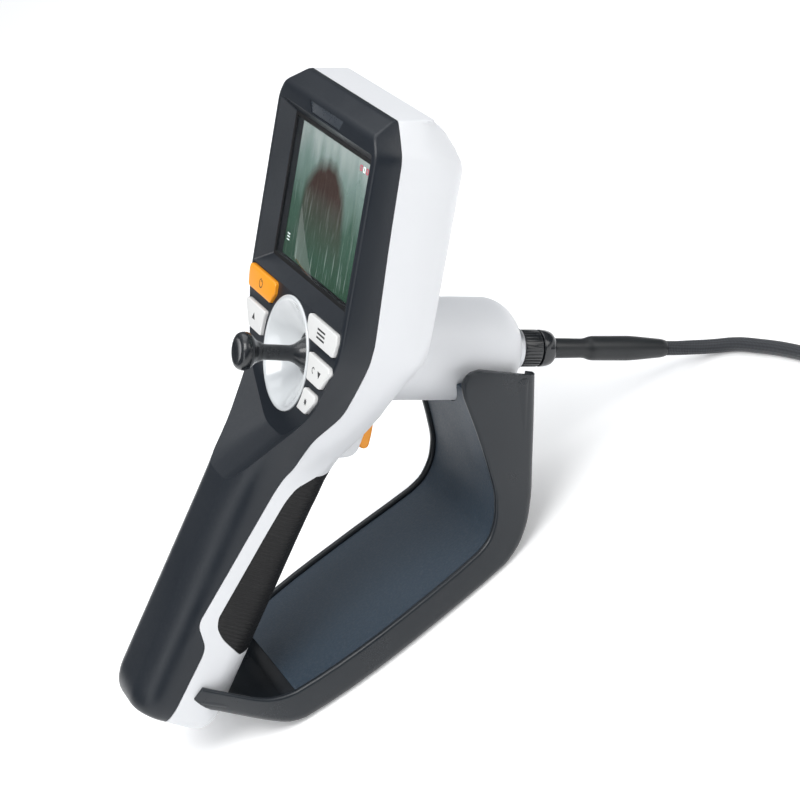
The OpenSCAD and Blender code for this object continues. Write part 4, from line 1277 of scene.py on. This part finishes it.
class CAMERA_OT_guard(Piece):
    """Magnetic hand guard with its grained lining"""
    bl_idname = "camera.guard"
    bl_label = "Guard"

    def build(self, casing, panel, guard, probe):
        self.frame_piece(casing, guard)
        self.liner(casing, guard)
        self.magnets(guard)

    def frame_piece(self, casing, guard):
        rings = []
        wall, edge = guard.guard_wall, 1.4
        for ix, iz, ox, oz in guard_stations():
            inner, outer = np.array((ix, iz)), np.array((ox, oz))
            deep = np.linalg.norm(outer - inner)
            floor = wall + (2.0 if oz < 0.5 else 0.0)
            well = max(0.6, deep - floor)
            half_in, half_out = guard_width(ix), guard_width(ox)
            section = np.array([(-half_in, 0), (half_in * -1 + wall, 0), (wall - half_in, well),
                                (half_in - wall, well),
                                (half_in - wall, 0), (half_in, 0), (half_out, deep), (-half_out, deep)])
            cuts = np.array((edge, edge, min(3.0, well / 2), min(3.0, well / 2), edge, edge, 4.0, 4.0))
            shape = eased(section, np.minimum(cuts, deep * 0.45), steps=4)
            spot = inner + (outer - inner) / deep * shape[:, 1:2]
            rings.append(np.column_stack((spot[:, 0], shape[:, 0], spot[:, 1])))
        shell = lofted("guard_frame", rings)
        carve(shell, prism("slab", circle(300, 32), 0.0, 200, ROW), how="INTERSECT")
        holes = [prism("hole", circle(guard.magnet_r + 0.1, 48, (x * MAGNET_STEP[0], y * MAGNET_STEP[1])),
                       -1,
                       MAGNET_T, ROW) for x in (-1, 0, 1) for y in (-0.5, 0.5)]
        carve(shell, casing_solid("handle", casing, -0.06),
              prism("way", circle(casing.barrel_r + 0.06, 128), 0, casing.barrel_reach, BARREL), *holes)
        dress(shell, MATERIALS["Guard plastic"], BODY, "guard_frame", slot="guard_slate", angle=35)

    def liner(self, casing, guard):
        line = [(r[0], r[1]) for r in guard_stations()[15:59]]
        line = np.array(line)
        ahead = np.gradient(line, axis=0)
        ahead /= np.linalg.norm(ahead, axis=1)[:, None]
        outward = np.column_stack((ahead[:, 1], -ahead[:, 0]))
        top, foot = line + outward * guard.liner_sink, line + outward * (guard.liner_sink + guard.liner_t)
        rings = []
        for up, low in zip(top, foot):
            half = guard_width(up[0]) - guard.guard_wall - 0.1
            rings.append([(up[0], -half, up[1]), (up[0], half, up[1]), (low[0], half, low[1]),
                          (low[0], -half, low[1])])
        liner = lofted("guard_liner", rings)
        carve(liner, prism("way", circle(casing.barrel_r + 0.4, 96), 0, casing.barrel_reach, BARREL))
        dress(liner, MATERIALS["Guard lining"], BODY, "guard_liner", slot="guard_slate", angle=35)

    def magnets(self, guard):
        disc = eased([(0, 0.4), (guard.magnet_r, 0.4), (guard.magnet_r, MAGNET_T), (0, MAGNET_T)],
                     (0, 0.5, 0.4, 0), steps=3, closed=False)
        model = turned("magnet", disc, ROW, 56)
        grid = by_nodes("base_magnets", grid_of_copies(), model=model, count_x=MAGNET_ROWS[0],
                        count_y=MAGNET_ROWS[1], step_x=mm(MAGNET_STEP[0]), step_y=mm(MAGNET_STEP[1]),
                        material=MATERIALS["Nickel"])
        discard(model)
        dress(grid, MATERIALS["Nickel"], BODY, "base_magnets", slot="magnet_nickel")


# ---------------------------------------------------------------- the coupling and the probe
NUT_START = 1.0
SOCKET_R = 8.4


class CAMERA_OT_coupling(Piece):
    """Socket, knurled nut, glossy shell and stepped sleeve"""
    bl_idname = "camera.coupling"
    bl_label = "Coupling"

    def build(self, casing, panel, guard, probe):
        start = casing.barrel_reach + NUT_START
        self.nut(start, probe)
        end = start + probe.nut_len + 0.2
        shell = eased([(0, end - 6), (4.6, end - 6), (4.6, end), (7.5, end), (7.5, end + 2.6),
                       (6.6, end + 5.8),
                       (4.2, end + 6.8), (0, end + 6.8)], (0, 0.2, 0, 0.5, 1.6, 1.6, 0.8, 0), steps=6,
                       closed=False)
        dress(turned("coupling_shell", shell, BARREL, 96), MATERIALS["Dark gloss"], BODY,
              "coupling_shell",
              slot="coupling_black")
        foot, step, reach = end + 6.8, probe.sleeve_step, probe.sleeve_reach
        sleeve = eased([(0, foot), (4.1, foot), (3.9, step - 5), (5.0, step - 2.5), (5.1, step + 16),
                        (3.8, reach - 1.2), (3.35, reach), (0, reach)], (0, 0.3, 2, 1.6, 3, 1.5, 0.5, 0),
                       steps=5, closed=False)
        dress(turned("strain_relief", sleeve, BARREL, 72), MATERIALS["Sleeve rubber"], BODY,
              "strain_relief",
              slot="coupling_black")
        thread = probe.nut_r - 1.6
        base = casing.barrel_reach - 12
        socket = eased([(4.6, base), (SOCKET_R, base), (SOCKET_R, base + 12.6), (thread, base + 12.6),
                        (thread, start + probe.nut_len - 0.4), (4.6, start + probe.nut_len - 0.4)],
                       (0.2, 0.2, 0.6, 0.3, 0.3, 0.2), steps=3)
        dress(turned("barrel_socket", socket, BARREL, 72, ring=True), MATERIALS["Steel"], BODY,
              "barrel_socket",
              slot="coupling_black")

    def nut(self, start, probe):
        """The nut's body, with a ring of ribs from a geometry tree."""
        inner, outer = probe.nut_r - 1.55, probe.nut_r - 0.5
        ring = eased([(inner, start), (outer, start), (outer, start + probe.nut_len),
                      (inner, start + probe.nut_len)],
                     (0.15, 0.5, 0.5, 0.15), steps=4)
        body = turned("coupling_nut", ring, BARREL, 96, ring=True)
        length = probe.nut_len - 1.2
        ribs = by_nodes("ribs", ring_of_blocks(), count=30, radius=mm(outer - 0.05), width=mm(0.85),
                        depth=mm(0.95),
                        length=mm(length), material=MATERIALS["Dark gloss"])
        ribs.data.transform(in_metres(BARREL, (0, 0, start + probe.nut_len / 2)))
        tidy_mesh(ribs)
        soften(ribs, 0.22, 2, 60)
        carve(body, ribs, how="UNION")
        dress(body, MATERIALS["Dark gloss"], "nut", "coupling_nut", slot="coupling_black", angle=40)


COIL_CENTRE = np.array((237.0, -81.0))
LOW, HIGH = 3.1, 9.2
LEAD = [(163.8, -0.6, 9.8), (168.5, -2.2, 7), (173.1, -5, 4.8), (177.3, -8.6, 3.5), (181, -13, LOW),
        (184, -18.5, LOW), (187, -26, LOW), (190, -34, LOW), (192.5, -42, LOW), (194.6, -50, LOW),
        (196.2, -58, LOW),
        (197.4, -65, LOW), (197.9, -73, LOW)]
TAIL = [(272.65, -84.75, HIGH), (274, -72.8, 8.9), (275.2, -60.8, 6.5), (275.9, -49, 4.1),
        (276, -39, 3.2)]
TIP_HEADING = math.radians(90)
COLLAR_LEN = 10.0
LINK_LEN = 6.5
LINK_COUNT = 5
HEAD_LEN = 24.0
PITCH = 6.1
COIL_OUT, COIL_IN = 39.0, 26.8


def cable_route(reach):
    """The cable's centreline in millimetres: a lead, two layers of turns and a tail."""
    start = placed((0, 0, reach), BARREL)[0] / MM
    turns = []
    for theta in range(180, 1420, 12):
        if theta <= 900:
            r = COIL_OUT - PITCH * (theta - 180) / 360
        else:
            r = COIL_IN + PITCH * (theta - 900) / 360
        climb = min(1.0, max(0.0, (theta - 840) / 90))
        z = LOW + (HIGH - LOW) * climb ** 2 * (3 - 2 * climb)
        a = math.radians(theta)
        turns.append((*(COIL_CENTRE + r * np.array((math.cos(a), math.sin(a)))), z))
    return np.vstack(([start], LEAD, turns, TAIL))


def tube(name, line, radius, sides=20):
    """A tube of quads along a line, with a map of (turns round, metres along)."""
    ahead = np.gradient(line, axis=0)
    ahead /= np.linalg.norm(ahead, axis=1)[:, None]
    side = np.cross((0, 0, 1), ahead)
    side /= np.linalg.norm(side, axis=1)[:, None]
    top = np.cross(ahead, side)
    a = np.linspace(0, math.tau, sides, endpoint=False)
    rings = [p + radius * (np.outer(np.cos(a), s) + np.outer(np.sin(a), t)) for p, s,
             t in zip(line, side, top)]
    piece = lofted(name, rings)
    gone = np.concatenate(([0], np.cumsum(np.linalg.norm(np.diff(line, axis=0), axis=1)))) * MM
    layer = piece.data.uv_layers.new(name="Along")
    for face in piece.data.polygons:
        corners = [piece.data.loops[k].vertex_index for k in face.loop_indices]
        places = [(v % sides, v // sides) for v in corners]
        wraps = max(p[0] for p in places) - min(p[0] for p in places) > sides / 2
        for k, (spot, ring) in zip(face.loop_indices, places):
            round_at = (spot + sides if wraps and spot < sides / 2 else spot) / sides
            layer.data[k].uv = (round_at, gone[min(ring, len(gone) - 1)])
    return piece


class CAMERA_OT_cable(Piece):
    """Woven probe cable, wound into a coil, on its way to the tip"""
    bl_idname = "camera.cable"
    bl_label = "Probe cable"

    def build(self, casing, panel, guard, probe):
        route = cable_route(probe.sleeve_reach - 0.5)
        length = np.sum(np.linalg.norm(np.diff(flowing(route, 2000), axis=0), axis=1))
        line = flowing(route, int(length / 2.2))
        cable = tube("probe_cable", line, probe.cable_d / 2)
        cable.data.shade_smooth()
        cable.data.materials.append(MATERIALS["Woven sleeve"])
        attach(cable, BODY)
        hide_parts("probe_cable", "probe_coil", "probe_tail")


def tip_place(along):
    heading = np.array((math.cos(TIP_HEADING), math.sin(TIP_HEADING), 0.0))
    origin = (np.array(TAIL[-1]) + heading * along) * MM
    return placing(origin, (0, 0, -1), np.cross(heading, (0, 0, -1)), heading)


class CAMERA_OT_tip(Piece):
    """Collar, bending links and camera head"""
    bl_idname = "camera.tip"
    bl_label = "Probe tip"

    def build(self, casing, panel, guard, probe):
        r = probe.cable_d / 2
        self.bevelled("tip_collar", BODY)
        for k in range(LINK_COUNT):
            self.bevelled(f"bending_link_{k + 1}", f"link_{k + 1}")
        self.bevelled("camera_head", "tip_head")
        face = COLLAR_LEN + LINK_COUNT * LINK_LEN + HEAD_LEN
        lens = eased([(0, -1), (1.28, -1), (1.28, -0.35), (0.9, -0.12), (0, -0.02)],
                     (0, 0.1, 0.15, 0.3, 0),
                     steps=4, closed=False)
        dress(turned("tip_lens", lens, tip_place(face), 40), MATERIALS["Screen glass"], "tip_head",
              "camera_lens",
              slot="lens_clear")
        lamps = []
        for k in range(6):
            a = math.radians(60 * k)
            spot = circle(0.38, 20, (2.1 * r / 3 * math.cos(a), 2.1 * r / 3 * math.sin(a)))
            lamps.append(cushion("lamp", spot, -0.6, -0.05, 0.12, tip_place(face), steps=2))
        dress(joined("tip_lamps", *lamps), MATERIALS["Lamp"], "tip_head", "camera_leds", slot="led_white")

    def bevelled(self, node, body):
        piece = copied(node, "tip_" + node)
        soften(piece, 0.12, 2, 40)
        dress(piece, MATERIALS["Tip metal"], body, node, slot="tip_metal", angle=45)


class CAMERA_OT_port(Piece):
    """Hinged flap over the side port"""
    bl_idname = "camera.port"
    bl_label = "Port flap"

    def build(self, casing, panel, guard, probe):
        flap = copied("port_cover", "port_flap")
        soften(flap, 0.35, 3, 50)
        dress(flap, MATERIALS["Seal rubber"], "port_flap", "port_cover", slot="cover_dark", angle=45)


class CAMERA_OT_screws(Piece):
    """Housing screws with crossed slots"""
    bl_idname = "camera.screws"
    bl_label = "Screws"

    def build(self, casing, panel, guard, probe):
        spread = casing.head_w - 23
        pairs = [(head_screw_place(panel, casing), SCREW_SEAT, (spread, 0.0))]
        back = placed((0, -casing.grip_d / 2 + casing.pad_t, sum(GRIP_SCREWS) / 2), GRIP)[0]
        pairs.append((placing(back, DOWN_GRIP, RIGHT, GRIP_FRONT), 2.0,
                      (GRIP_SCREWS[1] - GRIP_SCREWS[0], 0.0)))
        made = []
        tree = grid_of_copies()
        for place, seat, step in pairs:
            model = self.screw(seat)
            grid = by_nodes("screws", tree, model=model, count_x=2, count_y=1, step_x=mm(step[0]),
                            step_y=0.0, material=MATERIALS["Steel"])
            discard(model)
            grid.data.transform(in_metres(place))
            made.append(grid)
        dress(joined("housing_screws", *made), MATERIALS["Steel"], BODY, "housing_screws",
              slot="plain_steel")

    def screw(self, seat):
        head = eased([(0, seat - 1.5), (SCREW_HEAD_R, seat - 1.5), (SCREW_HEAD_R, seat), (1.2, seat),
                      (1.2, seat + 12.6), (0, seat + 13)], (0, 0.35, 0.1, 0.1, 0.3, 0), steps=3,
                      closed=False)
        screw = turned("screw", head, ROW, 32)
        cross = [np.array([(-a, -b), (a, -b), (a, b), (-a, b)]) for a, b in ((1.3, 0.28), (0.28, 1.3))]
        slots = [prism("slot", c, seat - 2, seat - 0.8, ROW) for c in cross]
        return carve(screw, *slots)


class CAMERA_OT_inside(Piece):
    """Finishes for the CAD pieces that are shown as they are"""
    bl_idname = "camera.inside"
    bl_label = "Inner pieces"
    FINISHES = {
        "Circuit board": ("main_board", "key_board", "port_board"),
        "Seal rubber": ("screen_gasket", "key_mat"),
        "Battery wrap": ("battery_pack",),
        "Dark gloss": ("battery_clip", "trigger_switch"),
        "Steel": ("gimbal_ring", "wire_bracket", "trigger_pin", "trigger_spring", "port_pin"),
        "Guard plastic": ("gimbal_cup",),
        "Nickel": ("wire_guides",),
    }

    def build(self, casing, panel, guard, probe):
        for finish, nodes in self.FINISHES.items():
            for node in nodes:
                for slot in frame["nodes"][node].material_slots:
                    slot.material = MATERIALS[finish]


# ---------------------------------------------------------------- floor, lights and camera
class CAMERA_OT_studio(bpy.types.Operator):
    """Pale floor, soft lights and the camera of the photo"""
    bl_idname = "camera.studio"
    bl_label = "Studio"
    bl_options = {"REGISTER", "UNDO"}
    # where the camera stands and looks, in millimetres, how far it is rolled, and its lens and sensor
    EYE = (-61.4, -845.2, 566.8)
    AIM = (55.8, 0.0, 70.4)
    ROLL = math.radians(-33.52)
    LENS = 112.4
    SENSOR = 36.0
    NEAR, FAR = 0.01, 20.0
    FLOOR_R, FLOOR_TOP, FLOOR_T = 4000, -0.02, 4
    FLOOR_GLOW = 0.24
    SKY = 0.75
    # name, place and target in metres, size across and up, watts, colour
    LIGHTS = (
        ("Key", (-0.25, -0.35, 1.15), (0.03, 0, 0.1), (0.9, 0.6), 9.5, (1.0, 0.995, 0.985)),
        ("Top", (0.35, 0.35, 1.0), (0.05, 0, 0.1), (0.9, 0.9), 3.6, (0.97, 0.985, 1.0)),
        ("Window", (-0.9, -0.55, 0.45), (0, 0, 0.12), (0.5, 0.8), 2.5, (0.96, 0.98, 1.0)),
        ("Fill", (0.9, -0.7, 0.5), (0.05, 0, 0.08), (0.7, 0.7), 3.6, (1.0, 0.99, 0.97)),
    )

    def execute(self, context):
        self.camera(context.scene)
        self.floor()
        self.world(context.scene)
        for light in self.LIGHTS:
            self.light(*light)
        return {"FINISHED"}

    def camera(self, scene):
        data = bpy.data.cameras.new("Camera")
        data.sensor_width = self.SENSOR
        data.lens = self.LENS
        data.clip_start, data.clip_end = self.NEAR, self.FAR
        camera = bpy.data.objects.new("Camera", data)
        scene.collection.objects.link(camera)
        scene.camera = camera
        eye, aim = np.array(self.EYE) * MM, np.array(self.AIM) * MM
        ahead = (aim - eye) / np.linalg.norm(aim - eye)
        side = np.cross(ahead, (0, 0, 1))
        side /= np.linalg.norm(side)
        rise = np.cross(side, ahead)
        c, s = math.cos(self.ROLL), math.sin(self.ROLL)
        matrix = np.eye(4)
        matrix[:3, 0], matrix[:3, 1] = side * c + rise * s, rise * c - side * s
        matrix[:3, 2], matrix[:3, 3] = -ahead, eye
        camera.matrix_world = Matrix(matrix.tolist())

    def floor(self):
        edge = circle(self.FLOOR_R, 64)
        sheet = lofted("floor", [at_height(edge, z) for z in (-self.FLOOR_T, self.FLOOR_TOP)])
        material, _, shader = empty_material("Floor")
        shader.inputs["Base Color"].default_value = (0.93, 0.93, 0.93, 1)
        shader.inputs["Roughness"].default_value = 0.45
        shader.inputs["Emission Color"].default_value = (1, 1, 1, 1)
        shader.inputs["Emission Strength"].default_value = self.FLOOR_GLOW
        sheet.data.materials.append(material)

    def world(self, scene):
        scene.world = bpy.data.worlds.new("World")
        scene.world.use_nodes = True
        graph = Graph(scene.world.node_tree)
        place = graph.add("ShaderNodeTexCoord").outputs["Generated"]
        rise = graph.add("ShaderNodeSeparateXYZ", {0: place}).outputs["Z"]
        sky = graph.ramp(rise, (0.0, (0.05, 0.055, 0.06)), (0.22, (0.14, 0.15, 0.16)),
                         (0.6, (0.62, 0.64, 0.67)),
                         (1.0, (0.95, 0.97, 1.0)))
        back = scene.world.node_tree.nodes["Background"]
        graph.tree.links.new(sky, back.inputs["Color"])
        back.inputs["Strength"].default_value = self.SKY
        scene.view_settings.view_transform = "Standard"

    def light(self, name, place, target, shape, watts, tint):
        data = bpy.data.lights.new(name, "AREA")
        data.shape = "RECTANGLE"
        data.size, data.size_y = shape
        data.energy = watts
        data.color = tint
        lamp = bpy.data.objects.new(name, data)
        bpy.context.scene.collection.objects.link(lamp)
        lamp.location = place
        lamp.rotation_mode = "QUATERNION"
        lamp.rotation_quaternion = (Vector(target) - Vector(place)).to_track_quat("-Z", "Y")


# ---------------------------------------------------------------- add-on
GROUP_NAMES = (("camera_casing", CasingSizes), ("camera_panel", PanelSizes), ("camera_guard", GuardSizes),
               ("camera_probe", ProbeSizes), ("camera_finishes", Finishes))
BUILDERS = (CAMERA_OT_studio, CAMERA_OT_tip, CAMERA_OT_cable, CAMERA_OT_casing, CAMERA_OT_pad,
            CAMERA_OT_screen,
            CAMERA_OT_keys, CAMERA_OT_joystick, CAMERA_OT_trigger, CAMERA_OT_guard, CAMERA_OT_coupling,
            CAMERA_OT_port, CAMERA_OT_screws, CAMERA_OT_inside)


class CAMERA_PT_panel(bpy.types.Panel):
    """Sizes, colours and one button for each stage of the build"""
    bl_label = "Inspection camera"
    bl_idname = "CAMERA_PT_panel"
    bl_space_type = "VIEW_3D"
    bl_region_type = "UI"
    bl_category = "Camera"

    def draw(self, context):
        for name, group in GROUP_NAMES:
            box = self.layout.box()
            box.label(text=group.__name__)
            for key in group.__annotations__:
                box.prop(getattr(context.scene, name), key)
        for builder in BUILDERS:
            self.layout.operator(builder.bl_idname)


CLASSES = tuple(group for _, group in GROUP_NAMES) + BUILDERS + (CAMERA_PT_panel,)


def register():
    for item in CLASSES:
        bpy.utils.register_class(item)
    for name, group in GROUP_NAMES:
        setattr(bpy.types.Scene, name, PointerProperty(type=group))


def unregister():
    for name, _ in GROUP_NAMES:
        delattr(bpy.types.Scene, name)
    for item in reversed(CLASSES):
        bpy.utils.unregister_class(item)


def main():
    register()
    make_materials()
    for builder in BUILDERS:
        family, name = builder.bl_idname.split(".")
        getattr(getattr(bpy.ops, family), name)()


if __name__ == "__main__":
    main()
